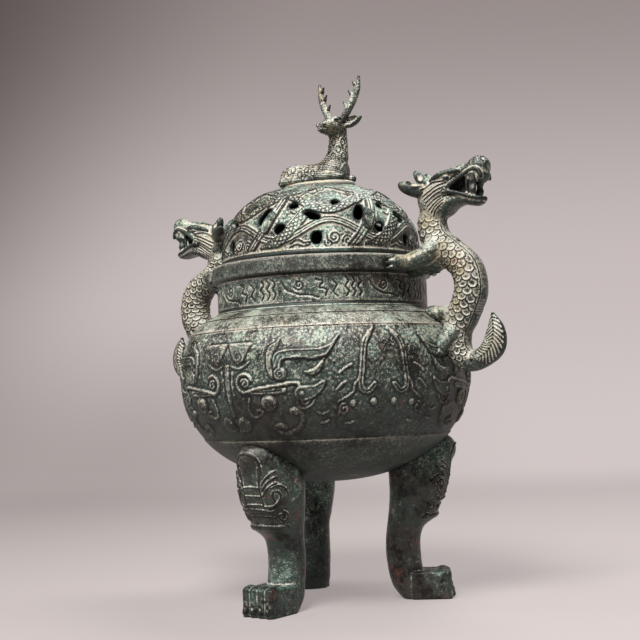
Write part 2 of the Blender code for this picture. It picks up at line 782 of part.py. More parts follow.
def dragon_side(hand):
    """What the dragon has on one side: ear, horn stub, fang and foreleg."""
    limbs = (("ear", DRAGON_EAR), ("horn", DRAGON_HORN), ("fang", DRAGON_FANG))
    return [*[dragon_limb(name, hand, rows) for name, rows in limbs], dragon_foreleg(hand)]


def dragon_chest():
    """The breast that seats against the collar, round its rivet."""
    middle = RIM_Z - HANDLE_UPPER_RIVET_DROP + BREAST_LIFT
    stations = [(by_rim(out, up), tall, half) for out, up, tall, half in DRAGON_CHEST]
    for radius in (COLLAR_RADIUS, COLLAR_RADIUS - BOWL_WALL):
        stations.append((Vector((radius, 0.0, middle)), BREAST_HALF_HEIGHT, BREAST_HALF_WIDTH))
    rings = [
        rounded_ring(centre, Vector((0, 1, 0)), Vector((0, 0, 1)), half, tall, 10, 2.4)
        for centre, tall, half in stations
    ]
    return lofted("dragon_chest", rings)


def dragon_peg():
    """The short stub that props the dragon's back off the bowl's shoulder."""
    start = by_belly(PEG_OUT, PEG_RISE)
    end = Vector((NECK_RADIUS + BOWL_WALL, 0.0, start.z))
    return tube("dragon_peg", (start, end), (PEG_RADIUS, PEG_RADIUS - PEG_TAPER))


def bow_head(dragon, drop):
    """Lowers a dragon's head, easing in along its neck above the rim."""
    for vertex in dragon.data.vertices:
        share = (vertex.co.z - RIM_Z) / DRAGON_NECK_RISE
        vertex.co.z -= drop * min(max(share, 0.0), 1.0)


def make_handles(material):
    dragon = dragon_body()
    pieces = [
        dragon_bone("dragon_skull", DRAGON_SKULL, 2.3),
        dragon_bone("dragon_jaw", DRAGON_JAW, 2.3),
        dragon_chest(),
        dragon_peg(),
        *dragon_side(1),
        *dragon_side(-1),
    ]
    combine(dragon, pieces, "UNION")
    for side, turn in HANDLE_TURNS.items():
        handle = turned_copy(f"handle_{side}", dragon, turn)
        bow_head(handle, HEAD_DROPS[side])
        seats = (handle_upper_seat(), handle_lower_seat())
        holes = [rivet_hole("handle_hole", *turned_seat(seat, turn)) for seat in seats]
        combine(handle, [bowl_seat("handle_seat"), *holes], "DIFFERENCE")
        finish(handle, material, 55.0)
    bpy.data.objects.remove(dragon)


# Lid


def piercing(name, turn, share, length, width, tilt):
    """One cutter through the dome: an oval slot standing square to the dome's face."""
    along = math.asin(share ** (LID_FULLNESS / 2)) / (math.pi / 2)
    radius, z = dome_point(along)
    low, high = dome_point(along - 0.02), dome_point(along + 0.02)
    rising = Vector((high[0] - low[0], 0.0, high[1] - low[1])).normalized()
    around = Vector((0.0, 1.0, 0.0))
    outward = around.cross(rising)
    lean = math.radians(tilt)
    long_way = around * math.cos(lean) + rising * math.sin(lean)
    short_way = outward.cross(long_way)
    rings = []
    for depth in (-2.5 * LID_WALL, 1.5 * LID_WALL):
        centre = Vector((radius, 0.0, z)) + outward * depth
        rings.append(rounded_ring(centre, long_way, short_way, length / 2, width / 2, 7, 2.4))
    obj = lofted(name, rings)
    obj.data.transform(Matrix.Rotation(math.radians(turn), 4, "Z"))
    return obj


def make_lid(material):
    rise = arc_points(dome_point, 0.0, crown_share(), 7)
    hollow = arc_points(dome_point, crown_share(LID_WALL), 0.0, 5, LID_WALL)
    hollow_crown = CROWN_Z - LID_WALL
    hollow[0] = (hollow[0][0], hollow_crown)
    inner = RING_RADIUS - RING_WALL / 2
    profile = [
        (inner, LID_Z),
        (FLANGE_RADIUS, LID_Z),
        (FLANGE_RADIUS, DOME_Z),
        *rise,
        (0.0, CROWN_Z),
    ]
    back = [(0.0, hollow_crown), *hollow, (inner, DOME_Z)]
    lid = turned("lid", [*profile, *back, (inner, LID_Z)])
    sector = 360.0 / PIERCING_SECTORS
    cutters = []
    for step in range(PIERCING_SECTORS):
        for index, (turn, share, length, width, tilt) in enumerate(PIERCINGS):
            place = PIERCING_TURN + sector * step + turn
            cutters.append(piercing(f"piercing_{step}_{index}", place, share, length, width, tilt))
    place, outward, reach = finial_rivet_seat()
    cutters.append(rivet_hole("crown_hole", place, outward, reach))
    combine(lid, cutters, "DIFFERENCE")
    return finish(lid, material)


def make_lid_ring(material):
    """The ring under the flange that keeps the lid from sliding off the mouth."""
    top = LID_Z - SEAT_GAP
    inner = RING_RADIUS - RING_WALL
    taper = RING_WALL / 4
    profile = [
        (inner, top),
        (inner, top - RING_DEPTH),
        (RING_RADIUS - taper, top - RING_DEPTH),
        (RING_RADIUS, top - RING_DEPTH + taper),
        (RING_RADIUS, top),
    ]
    return finish(turned("lid_locating_ring", profile), material)


# Finial


def finial_rivet_seat():
    """The finial's rivet stands on the axis, with its head under the lid's crown."""
    reach = LID_WALL + PLINTH_THICKNESS + 2 * SEAT_GAP + FINIAL_RIVET_REACH
    return Vector((0.0, 0.0, CROWN_Z - LID_WALL - SEAT_GAP)), Vector((0, 0, 1)), reach


def make_plinth(material):
    soften = PLINTH_THICKNESS / 3
    rows = ((0.0, soften), (soften, 0.0), (PLINTH_THICKNESS - soften, 0.0), (PLINTH_THICKNESS, soften))
    rings = [
        rounded_ring(
            Vector((0.0, 0.0, PLINTH_Z + rise)),
            Vector((1, 0, 0)),
            Vector((0, 1, 0)),
            PLINTH_LENGTH / 2 - inset,
            PLINTH_WIDTH / 2 - inset,
            22,
        )
        for rise, inset in rows
    ]
    plinth = lofted("finial_plinth", rings)
    combine(plinth, [rivet_hole("plinth_hole", *finial_rivet_seat())], "DIFFERENCE")
    return finish(plinth, material)


STAG_TRUNK = (
    # along the body, underside and top above the plinth, half-width
    (-0.0275, 0.0030, 0.0085, 0.0030),
    (-0.0245, -0.0010, 0.0130, 0.0078),
    (-0.0180, -0.0010, 0.0158, 0.0112),
    (-0.0080, -0.0010, 0.0152, 0.0112),
    (0.0020, -0.0010, 0.0148, 0.0104),
    (0.0120, -0.0010, 0.0165, 0.0100),
    (0.0190, -0.0010, 0.0155, 0.0085),
    (0.0238, 0.0020, 0.0110, 0.0045),
)
STAG_NECK = (
    # along the body, up, half-depth, half-width
    (0.0120, 0.0060, 0.0110, 0.0092),
    (0.0152, 0.0140, 0.0090, 0.0080),
    (0.0176, 0.0220, 0.0070, 0.0066),
    (0.0183, 0.0300, 0.0062, 0.0060),
    (0.0184, 0.0380, 0.0060, 0.0058),
    (0.0184, 0.0430, 0.0048, 0.0046),
)
STAG_HEAD = (
    # forward of the poll, middle height, half-height, half-width
    (-0.0035, 0.0400, 0.0030, 0.0030),
    (0.0000, 0.0392, 0.0066, 0.0060),
    (0.0050, 0.0382, 0.0074, 0.0064),
    (0.0100, 0.0372, 0.0064, 0.0052),
    (0.0150, 0.0362, 0.0050, 0.0040),
    (0.0195, 0.0352, 0.0040, 0.0034),
    (0.0228, 0.0346, 0.0024, 0.0024),
)
STAG_POLL = (0.0184, 0.0010)
STAG_HIP = (-0.0165, 0.0085, 0.0065)
STAG_HAUNCH_RADII = (0.0092, 0.0045, 0.0078)
STAG_HIND_LEG = (
    # along the body, across it, up, radius
    (-0.0210, 0.0125, 0.0024, 0.0034),
    (-0.0120, 0.0135, 0.0022, 0.0030),
    (-0.0020, 0.0128, 0.0020, 0.0024),
)
STAG_FORE_LEG = (
    (0.0080, 0.0105, 0.0030, 0.0034),
    (0.0180, 0.0102, 0.0026, 0.0030),
    (0.0245, 0.0070, 0.0022, 0.0024),
)
STAG_EAR = (
    # out from the middle of the head, up, radius
    (0.0035, 0.0400, 0.0026),
    (0.0095, 0.0402, 0.0038),
    (0.0140, 0.0412, 0.0032),
    (0.0182, 0.0424, 0.0008),
)
ANTLER_BEAM = (
    # out from the middle of the head, forward, up, radius
    (0.0048, 0.0020, 0.0425, 0.0026),
    (0.0095, 0.0005, 0.0500, 0.0027),
    (0.0134, -0.0010, 0.0575, 0.0025),
    (0.0158, -0.0020, 0.0645, 0.0020),
    (0.0168, -0.0025, 0.0715, 0.0009),
)


TINE_LENGTHS = (0.0062, 0.0068, 0.0055)
TINE_RADII = (0.0014, 0.0012, 0.0005)
TINE_SAG = 0.0004
TINE_LEAN = (0.15, -0.62, 0.77)


def on_stag(along, across, up):
    return Vector((along, across, STAG_Z + up))


def on_stag_head(forward, out, up):
    """A point told from the stag's poll, which turns its head away from its body's line."""
    turn = math.radians(STAG_HEAD_TURN)
    ahead = Vector((math.cos(turn), math.sin(turn), 0.0))
    beside = Vector((-ahead.y, ahead.x, 0.0))
    return on_stag(STAG_POLL[0], STAG_POLL[1], up) + ahead * forward + beside * out


def stag_leg(name, hand, points):
    """A folded leg beside the trunk, through points along the body, across it and up."""
    path = [on_stag(along, across * hand, up) for along, across, up, _ in points]
    return tube(name, path, [row[3] for row in points], 6)


def stag_side(hand):
    """Haunch, folded legs and ear on one side of the stag."""
    along, across, up = STAG_HIP
    haunch = ellipsoid(f"haunch_{hand}", on_stag(along, across * hand, up), STAG_HAUNCH_RADII, 7, 5)
    hind = stag_leg(f"hind_{hand}", hand, STAG_HIND_LEG)
    fore = stag_leg(f"fore_{hand}", hand, STAG_FORE_LEG)
    ear_path = [on_stag_head(0.0, out * hand, up) for out, up, _ in STAG_EAR]
    ear = tube(f"stag_ear_{hand}", ear_path, [row[2] for row in STAG_EAR], 6)
    return [haunch, hind, fore, ear]


def antler_parts(hand):
    """The beam and tines of one antler, whose foot sits in a socket of the head."""
    beam_points = [on_stag_head(forward, out * hand, up) for out, forward, up, _ in ANTLER_BEAM]
    beam = tube(f"beam_{hand}", beam_points, [row[3] for row in ANTLER_BEAM])
    lean = on_stag_head(TINE_LEAN[0], TINE_LEAN[1] * hand, TINE_LEAN[2]) - on_stag_head(0.0, 0.0, 0.0)
    tines = []
    for index, length in enumerate(TINE_LENGTHS):
        root = beam_points[index + 1]
        tip = root + lean * length
        middle = root.lerp(tip, 0.5) - Vector((0.0, 0.0, TINE_SAG))
        tines.append(tube(f"tine_{hand}_{index}", (root, middle, tip), TINE_RADII, 6))
    return beam, tines


def antler_socket(hand):
    """A clear hole for the antler's foot, a little wider than the beam."""
    points = [on_stag_head(forward, out * hand, up) for out, forward, up, _ in ANTLER_BEAM[:2]]
    foot = ANTLER_BEAM[0][3] + SEAT_GAP
    below = points[0] - (points[1] - points[0]).normalized() * SEAT_GAP
    return tube(f"socket_{hand}", (below, points[1]), (foot, foot))


def make_stag(material):
    trunk_rings = []
    for along, low, top, half in STAG_TRUNK:
        tall = (top - low) / 2
        centre = on_stag(along, 0.0, low + tall)
        trunk_rings.append(rounded_ring(centre, Vector((0, 1, 0)), Vector((0, 0, 1)), half, tall, 8, 2.3))
    neck_rings = [
        rounded_ring(on_stag(along, 0.0, up), Vector((1, 0, 0)), Vector((0, 1, 0)), deep, half, 8)
        for along, up, deep, half in STAG_NECK
    ]
    side = (on_stag_head(0.0, 1.0, 0.0) - on_stag_head(0.0, 0.0, 0.0)).normalized()
    head_rings = [
        rounded_ring(on_stag_head(forward, 0.0, up), side, Vector((0, 0, 1)), half, tall, 9)
        for forward, up, tall, half in STAG_HEAD
    ]
    stag = lofted("stag", trunk_rings)
    pieces = [lofted("stag_neck", neck_rings), lofted("stag_head", head_rings), *stag_side(1), *stag_side(-1)]
    combine(stag, pieces, "UNION")
    reach = PLINTH_LENGTH
    below = block("stag_floor", (-reach, -reach, STAG_Z - reach), (reach, reach, STAG_Z))
    hole = rivet_hole("stag_hole", *finial_rivet_seat())
    combine(stag, [below, hole, antler_socket(1), antler_socket(-1)], "DIFFERENCE")
    return finish(stag, material, 55.0)


def make_antlers(material):
    for name, hand in (("antler_right", 1), ("antler_left", -1)):
        beam, tines = antler_parts(hand)
        beam.name = name
        finish(combine(beam, tines, "UNION"), material, 55.0)


def main():
    clear_scene()
    dark_green = bronze("bowl_bronze", (0.075, 0.100, 0.085), 0.55)
    leg_green = bronze("leg_bronze", (0.050, 0.070, 0.055), 0.45)
    handle_tan = bronze("handle_bronze", (0.150, 0.140, 0.090), 0.50)
    lid_green = bronze("lid_bronze", (0.100, 0.120, 0.095), 0.55)
    finial_tan = bronze("finial_bronze", (0.140, 0.145, 0.095), 0.50)
    rivet_brown = bronze("rivet_bronze", (0.110, 0.075, 0.045), 0.50)
    make_bowl(dark_green)
    make_legs(leg_green)
    make_handles(handle_tan)
    make_lid(lid_green)
    make_lid_ring(lid_green)
    make_plinth(finial_tan)
    make_stag(finial_tan)
    make_antlers(finial_tan)
    for name, seat in bowl_rivets().items():
        rivet(name, *seat, rivet_brown)
    rivet("finial_rivet", *finial_rivet_seat(), rivet_brown)


main()
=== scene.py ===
"""Looks of the bronze tripod censer: carved castings in patinated bronze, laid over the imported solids,
on a plain pale floor in soft studio light. Shapes are told in millimetres, in the frame of the solids.
"""

import math

import bpy
import numpy as np
import openvdb
from mathutils import Matrix, Vector


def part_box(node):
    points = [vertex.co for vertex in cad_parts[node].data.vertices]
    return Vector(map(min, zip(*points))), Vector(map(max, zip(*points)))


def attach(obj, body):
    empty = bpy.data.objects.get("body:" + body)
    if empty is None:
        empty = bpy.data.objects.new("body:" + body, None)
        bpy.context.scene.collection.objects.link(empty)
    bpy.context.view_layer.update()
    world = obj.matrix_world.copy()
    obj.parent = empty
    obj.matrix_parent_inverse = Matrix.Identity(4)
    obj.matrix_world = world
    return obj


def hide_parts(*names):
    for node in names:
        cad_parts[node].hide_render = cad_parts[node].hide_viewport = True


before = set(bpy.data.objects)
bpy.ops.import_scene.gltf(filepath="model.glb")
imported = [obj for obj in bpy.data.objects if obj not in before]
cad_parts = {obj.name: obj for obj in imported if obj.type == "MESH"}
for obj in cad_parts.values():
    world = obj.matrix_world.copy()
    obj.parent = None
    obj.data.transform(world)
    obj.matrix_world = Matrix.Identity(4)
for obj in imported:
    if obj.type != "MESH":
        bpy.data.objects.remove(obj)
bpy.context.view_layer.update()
MM = 0.001

# Vessel sizes, as the solids have them
BELLY_RADIUS = 100.0
BELLY_Z = 155.0
BELLY_DEPTH = 74.5
BELLY_FULLNESS = 2.2
SHOULDER_RISE = 50.0
SHOULDER_FULLNESS = 2.8
NECK_RADIUS = 72.5
NECK_HEIGHT = 21.5
COLLAR_RADIUS = 76.0
COLLAR_HEIGHT = 11.0
MOUTH_RADIUS = 63.0
LIP_THICKNESS = 5.0
BOWL_WALL = 4.0
BAND_TOP = 182.0
BAND_BOTTOM = 111.5
BAND_SINK = 0.8
RIM_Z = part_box("bowl")[1].z / MM
COLLAR_Z = RIM_Z - COLLAR_HEIGHT
NECK_Z = COLLAR_Z - NECK_HEIGHT
UNDERSIDE_Z = BELLY_Z - BELLY_DEPTH
NECK_BOTTOM = NECK_Z + 2.0
NECK_TOP = COLLAR_Z - 1.2
NECK_REPEATS = 8
SHOULDER_LINE = 190.8


# Curves and noise


def smooth_rows(rows, steps=6):
    """Rows of numbers on a smooth curve through the given rows."""
    rows = np.array(rows, float)
    ends = np.vstack([2 * rows[:1] - rows[1:2], rows, 2 * rows[-1:] - rows[-2:-1]])
    t = (np.arange(steps) / steps)[:, None]
    spans = []
    for a, b, c, d in zip(ends, ends[1:], ends[2:], ends[3:]):
        bend = 2 * a - 5 * b + 4 * c - d
        twist = 3 * b - a - 3 * c + d
        spans.append(b + 0.5 * ((c - a) * t + bend * t**2 + twist * t**3))
    return np.vstack([*spans, rows[-1:]])


def spiral(centre, radius, turns, start, inner=0.2):
    """Points of a spiral that winds in from its radius; start is in degrees and negative turns run back."""
    share = np.linspace(0.0, 1.0, max(8, int(abs(turns) * 16)))
    angle = math.radians(start) + share * turns * 2 * math.pi
    reach = radius * (1 - (1 - inner) * share)
    return np.stack([centre[0] + reach * np.cos(angle), centre[1] + reach * np.sin(angle)], 1)


def ease(x):
    """0 below 0, 1 above 1, smooth between."""
    x = np.clip(x, 0.0, 1.0)
    return x * x * (3 - 2 * x)


# Large odd numbers that scatter the cells of the noise
SCATTER_AXES = (73856093, 19349663, 83492791)
SCATTER_SEED = 2654435
SCATTER_AGAIN = 1274126177
SCATTER_TOP = 65535


def lattice(cell, seed):
    """A number from 0 to 1 for each whole-numbered cell."""
    mixed = seed * SCATTER_SEED
    for way, factor in enumerate(SCATTER_AXES):
        mixed = mixed ^ (cell[..., way] * factor)
    mixed = (mixed ^ (mixed >> 13)) * SCATTER_AGAIN
    return ((mixed ^ (mixed >> 16)) & SCATTER_TOP) / SCATTER_TOP


def grain(points, size, seed):
    """Smooth noise from -1 to 1 with bumps of a size in mm, at points in space."""
    scaled = np.asarray(points, float) / size
    base = np.floor(scaled).astype(np.int64)
    part = scaled - base
    part = part * part * (3 - 2 * part)
    total = 0.0
    for corner in np.ndindex(2, 2, 2):
        weight = np.prod(np.where(corner, part, 1 - part), axis=-1)
        total = total + weight * lattice(base + np.array(corner), seed)
    return 2 * total - 1


# Ornament drawn on a flat map


def segment_distance(u, v, start, end):
    """Distance of map points from a straight piece of a line."""
    du, dv = end[0] - start[0], end[1] - start[1]
    share = np.clip(((u - start[0]) * du + (v - start[1]) * dv) / max(du * du + dv * dv, 1e-9), 0.0, 1.0)
    return np.hypot(u - start[0] - share * du, v - start[1] - share * dv)


class Carving:
    """Heights in mm of ornament drawn on a map with coordinates u and v."""

    def __init__(self, u, v):
        self.u = u
        self.v = v
        self.height = np.zeros(u.shape)

    def near(self, points, margin):
        low, high = points.min(0) - margin, points.max(0) + margin
        found = (self.u > low[0]) & (self.u < high[0])
        return np.nonzero(found & (self.v > low[1]) & (self.v < high[1]))

    def distance(self, where, points):
        u, v = self.u[where], self.v[where]
        best = np.full(u.shape, 1e3)
        for start, end in zip(points, points[1:]):
            best = np.minimum(best, segment_distance(u, v, start, end))
        return best

    def raise_to(self, where, height):
        self.height[where] = np.maximum(self.height[where], height)

    def line(self, points, width, height, steps=5):
        """A rounded ridge along a curve, or a groove where the height is negative."""
        points = smooth_rows(points, steps)
        where = self.near(points, width)
        share = np.clip(1 - self.distance(where, points) / (width / 2), 0.0, 1.0)
        lift = height * np.sqrt(1 - (1 - share) ** 2)
        if height > 0:
            self.raise_to(where, lift)
        else:
            self.height[where] += lift

    def plate(self, outline, height, edge, steps=4):
        """A raised flat shape with a rounded edge of a given width."""
        points = smooth_rows([*outline, outline[0]], steps)
        where = self.near(points, 0.0)
        u, v = self.u[where], self.v[where]
        inside = np.zeros(u.shape, bool)
        for (au, av), (bu, bv) in zip(points, points[1:]):
            crossing = (av > v) != (bv > v)
            inside ^= crossing & (u < (bu - au) * (v - av) / (bv - av + 1e-12) + au)
        share = np.clip(self.distance(where, points) / edge, 0.0, 1.0)
        self.raise_to(where, np.where(inside, height * np.sqrt(1 - (1 - share) ** 2), 0.0))

    def boss(self, centre, radius, height):
        """A round knob."""
        centre = np.array([centre])
        where = self.near(centre, radius)
        away = np.hypot(self.u[where] - centre[0, 0], self.v[where] - centre[0, 1]) / radius
        self.raise_to(where, height * np.sqrt(np.clip(1 - away**2, 0.0, 1.0)))


# Solid shapes on a grid of distances


class Field:
    """Distances in mm from a shape's surface on a grid, negative inside it."""

    FAR = 8.0
    SKIN_REACH = 3.0

    def __init__(self, low, high, step):
        self.low = np.array(low, float)
        self.step = step
        count = np.ceil((np.array(high, float) - self.low) / step).astype(int) + 1
        self.distance = np.full(count, self.FAR, np.float32)

    def window(self, low=None, high=None):
        """The part of the grid inside a box: its slices, and its x, y and z."""
        top = np.array(self.distance.shape)
        first, last = np.zeros(3, int), top
        if low is not None:
            first = np.clip(np.floor((np.array(low) - self.low) / self.step).astype(int), 0, top - 1)
            last = np.clip(np.ceil((np.array(high) - self.low) / self.step).astype(int) + 1, first + 1, top)
        cut = tuple(slice(a, b) for a, b in zip(first, last))
        axes = []
        for way in range(3):
            shape = [1, 1, 1]
            shape[way] = -1
            places = self.low[way] + self.step * np.arange(first[way], last[way])
            axes.append(places.astype(np.float32).reshape(shape))
        return cut, axes

    def add(self, shape, low=None, high=None, blend=0.0):
        """Joins a shape, with a fillet of the blend's size."""
        cut, axes = self.window(low, high)
        self.distance[cut] = soft_min(self.distance[cut], shape(*axes), blend)

    def cut(self, shape, low=None, high=None, blend=0.0):
        """Takes a shape away, with a rounded edge of the blend's size."""
        cut, axes = self.window(low, high)
        self.distance[cut] = -soft_min(-self.distance[cut], shape(*axes), blend)

    def hollow(self, centre, radii, low, high, blend):
        """Takes an egg-shaped lump away inside a box."""
        self.cut(lambda x, y, z: ball_distance(x, y, z, centre, radii), low, high, blend)

    def rod(self, rows, blend=0.0):
        """Joins a tapered round bar along rows of x, y, z and radius."""
        rows = np.array(rows, float)
        for start, end in zip(rows, rows[1:]):
            reach = max(start[3], end[3]) + blend + 2 * self.step
            low = np.minimum(start[:3], end[:3]) - reach
            high = np.maximum(start[:3], end[:3]) + reach
            self.add(lambda x, y, z: rod_distance(x, y, z, start, end), low, high, blend)

    def ball(self, centre, radii, blend=0.0):
        """Joins an egg-shaped lump."""
        centre, radii = np.array(centre, float), np.array(radii, float)
        reach = radii + blend + 2 * self.step
        self.add(lambda x, y, z: ball_distance(x, y, z, centre, radii), centre - reach, centre + reach, blend)

    def near_skin(self, reach=SKIN_REACH):
        """The cells within a reach of the surface, and their places."""
        cells = np.nonzero(np.abs(self.distance) < reach)
        return cells, self.low + self.step * np.stack(cells, 1)

    def skin(self):
        """Points and faces of the surface."""
        grid = openvdb.FloatGrid(background=self.SKIN_REACH)
        grid.copyFromArray(np.clip(self.distance, -self.SKIN_REACH, self.SKIN_REACH))
        points, quads = grid.convertToQuads(isovalue=0.0)
        return self.low + points.astype(float) * self.step, quads[:, ::-1]


def soft_min(a, b, blend):
    if blend <= 0:
        return np.minimum(a, b)
    share = np.clip(0.5 + 0.5 * (b - a) / blend, 0.0, 1.0)
    return b + (a - b) * share - blend * share * (1 - share)


def rod_distance(x, y, z, start, end):
    along = end[:3] - start[:3]
    length = max(along @ along, 1e-9)
    x, y, z = x - start[0], y - start[1], z - start[2]
    share = np.clip((x * along[0] + y * along[1] + z * along[2]) / length, 0.0, 1.0)
    away = np.sqrt((x - share * along[0]) ** 2 + (y - share * along[1]) ** 2 + (z - share * along[2]) ** 2)
    return away - (start[3] + share * (end[3] - start[3]))


def ball_distance(x, y, z, centre, radii):
    x, y, z = x - centre[0], y - centre[1], z - centre[2]
    near = np.sqrt((x / radii[0]) ** 2 + (y / radii[1]) ** 2 + (z / radii[2]) ** 2)
    far = np.sqrt((x / radii[0] ** 2) ** 2 + (y / radii[1] ** 2) ** 2 + (z / radii[2] ** 2) ** 2)
    return near * (near - 1) / np.maximum(far, 1e-6)


# Pieces


# How far in mm a ridge stands proud of its surroundings to count as well worn
RELIEF_HEIGHT = 0.16


def new_mesh(name, points, quads):
    mesh = bpy.data.meshes.new(name)
    mesh.vertices.add(len(points))
    mesh.vertices.foreach_set("co", (np.asarray(points) * MM).astype(np.float32).ravel())
    mesh.loops.add(quads.size)
    mesh.loops.foreach_set("vertex_index", quads.astype(np.int32).ravel())
    mesh.polygons.add(len(quads))
    mesh.polygons.foreach_set("loop_start", np.arange(0, quads.size, 4, dtype=np.int32))
    mesh.update(calc_edges=True)
    mesh.validate()
    mesh.shade_smooth()
    return mesh


def mark_relief(mesh, reach=3):
    """Stores for each point how far it stands out: 0.5 on flat metal, more on ridges, less in grooves."""
    count = len(mesh.vertices)
    points = np.empty(count * 3, np.float32)
    normals = np.empty(count * 3, np.float32)
    edges = np.empty(len(mesh.edges) * 2, np.int32)
    mesh.vertices.foreach_get("co", points)
    mesh.vertex_normals.foreach_get("vector", normals)
    mesh.edges.foreach_get("vertices", edges)
    points, normals = points.reshape(-1, 3) / MM, normals.reshape(-1, 3)
    first, second = edges.reshape(-1, 2).T
    share = np.maximum(np.bincount(first, minlength=count) + np.bincount(second, minlength=count), 1)

    def around(values):
        total = np.bincount(first, values[second], count) + np.bincount(second, values[first], count)
        return total / share

    soft = points
    for _ in range(reach):
        soft = np.stack([around(soft[:, way]) for way in range(3)], 1)
    proud = np.einsum("ij,ij->i", points - soft, normals)
    layer = mesh.attributes.new("relief", "FLOAT", "POINT")
    layer.data.foreach_set("value", (0.5 + 0.5 * np.tanh(proud / RELIEF_HEIGHT)).astype(np.float32))


def place(name, points, quads, material, body, slot, nodes=(), shade_and_darkening=0.0):
    """Makes a piece of the object, riding on a body and standing for the solids it covers."""
    mesh = new_mesh(name, points, quads)
    mark_relief(mesh)
    # How far painted shade or other darkening blackens each point
    darkening_values = np.broadcast_to(shade_and_darkening, len(points)).astype(np.float32)
    mesh.attributes.new("shade_and_darkening", "FLOAT", "POINT").data.foreach_set("value", darkening_values)
    mesh.materials.append(material)
    piece = bpy.data.objects.new(name, mesh)
    bpy.context.scene.collection.objects.link(piece)
    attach(piece, body)
    if nodes:
        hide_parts(*nodes)
    return piece


def grid_faces(rows, columns, close_rows=False):
    """Faces of a grid that closes round its columns, and round its rows too for a ring."""
    last = rows if close_rows else rows - 1
    row, column = np.meshgrid(np.arange(last), np.arange(columns), indexing="ij")
    here, after = row * columns, (row + 1) % rows * columns
    beside = (column + 1) % columns
    corners = (here + column, here + beside, after + beside, after + column)
    return np.stack(corners, -1).reshape(-1, 4)


def round_angles(columns):
    """Even angles once round the axis."""
    return np.arange(columns) * 2 * math.pi / columns


def round_points(radius, angle, z):
    """Places at a radius, angle and height."""
    return np.stack([radius * np.cos(angle), radius * np.sin(angle), z + 0 * angle], -1)


def turned(points, degrees):
    """Points turned about the axis."""
    angle = math.radians(degrees)
    result = points.copy()
    result[:, 0] = points[:, 0] * math.cos(angle) - points[:, 1] * math.sin(angle)
    result[:, 1] = points[:, 0] * math.sin(angle) + points[:, 1] * math.cos(angle)
    return result


def turned_points(profile, columns):
    """Points of a profile of radius and height, turned about the axis."""
    profile = np.array(profile, float)
    return round_points(profile[:, :1], round_angles(columns), profile[:, 1:])


# Patinated bronze


class Graph:
    """A material's node tree, with short ways to add and join nodes."""

    def __init__(self, name):
        self.material = bpy.data.materials.new(name)
        self.material.use_nodes = True
        self.tree = self.material.node_tree
        self.shader = self.tree.nodes["Principled BSDF"]
        self.coordinates = self.node("ShaderNodeTexCoord").outputs["Object"]

    def node(self, kind, **settings):
        node = self.tree.nodes.new(kind)
        for key, value in settings.items():
            setattr(node, key, value)
        return node

    def feed(self, socket, value):
        if isinstance(value, bpy.types.NodeSocket):
            self.tree.links.new(value, socket)
        else:
            socket.default_value = value

    def attribute(self, layer):
        return self.node("ShaderNodeAttribute", attribute_name=layer).outputs["Fac"]

    def noise(self, size, detail=4.0, rough=0.6, seed=0.0):
        """Noise with patches of a size in mm."""
        node = self.node("ShaderNodeTexNoise", noise_dimensions="4D")
        self.feed(node.inputs["Vector"], self.coordinates)
        node.inputs["W"].default_value = seed
        node.inputs["Scale"].default_value = 1 / (size * MM)
        node.inputs["Detail"].default_value = detail
        node.inputs["Roughness"].default_value = rough
        return node.outputs["Fac"]

    def step(self, value, low, high):
        """0 below low, 1 above high, smooth between."""
        node = self.node("ShaderNodeMapRange", interpolation_type="SMOOTHSTEP")
        self.feed(node.inputs["Value"], value)
        node.inputs["From Min"].default_value = low
        node.inputs["From Max"].default_value = high
        return node.outputs["Result"]

    def maths(self, operation, a, b):
        node = self.node("ShaderNodeMath", operation=operation)
        self.feed(node.inputs[0], a)
        self.feed(node.inputs[1], b)
        return node.outputs[0]

    def total(self, *parts):
        """The sum of values, each times its weight."""
        total = 0.0
        for value, weight in parts:
            total = self.maths("ADD", self.maths("MULTIPLY", value, weight), total)
        return total

    def mix(self, share, a, b):
        """Colour a where the share is 0, b where it is 1."""
        node = self.node("ShaderNodeMix", data_type="RGBA")
        self.feed(node.inputs["Factor"], share)
        self.feed(node.inputs["A"], a if isinstance(a, bpy.types.NodeSocket) else (*a, 1.0))
        self.feed(node.inputs["B"], b if isinstance(b, bpy.types.NodeSocket) else (*b, 1.0))
        return node.outputs["Result"]

    def bump(self, height, distance, strength):
        node = self.node("ShaderNodeBump")
        node.inputs["Distance"].default_value = distance * MM
        node.inputs["Strength"].default_value = strength
        self.feed(node.inputs["Height"], height)
        return node.outputs["Normal"]


BLACK_BRONZE = (0.012, 0.013, 0.011)
BROWN_BRONZE = (0.066, 0.047, 0.036)
DEEP_GREEN = (0.036, 0.056, 0.046)
VERDIGRIS = (0.100, 0.225, 0.172)
PALE_CRUST = (0.450, 0.410, 0.340)
OCHRE = (0.330, 0.275, 0.165)
CUPRITE = (0.150, 0.056, 0.040)


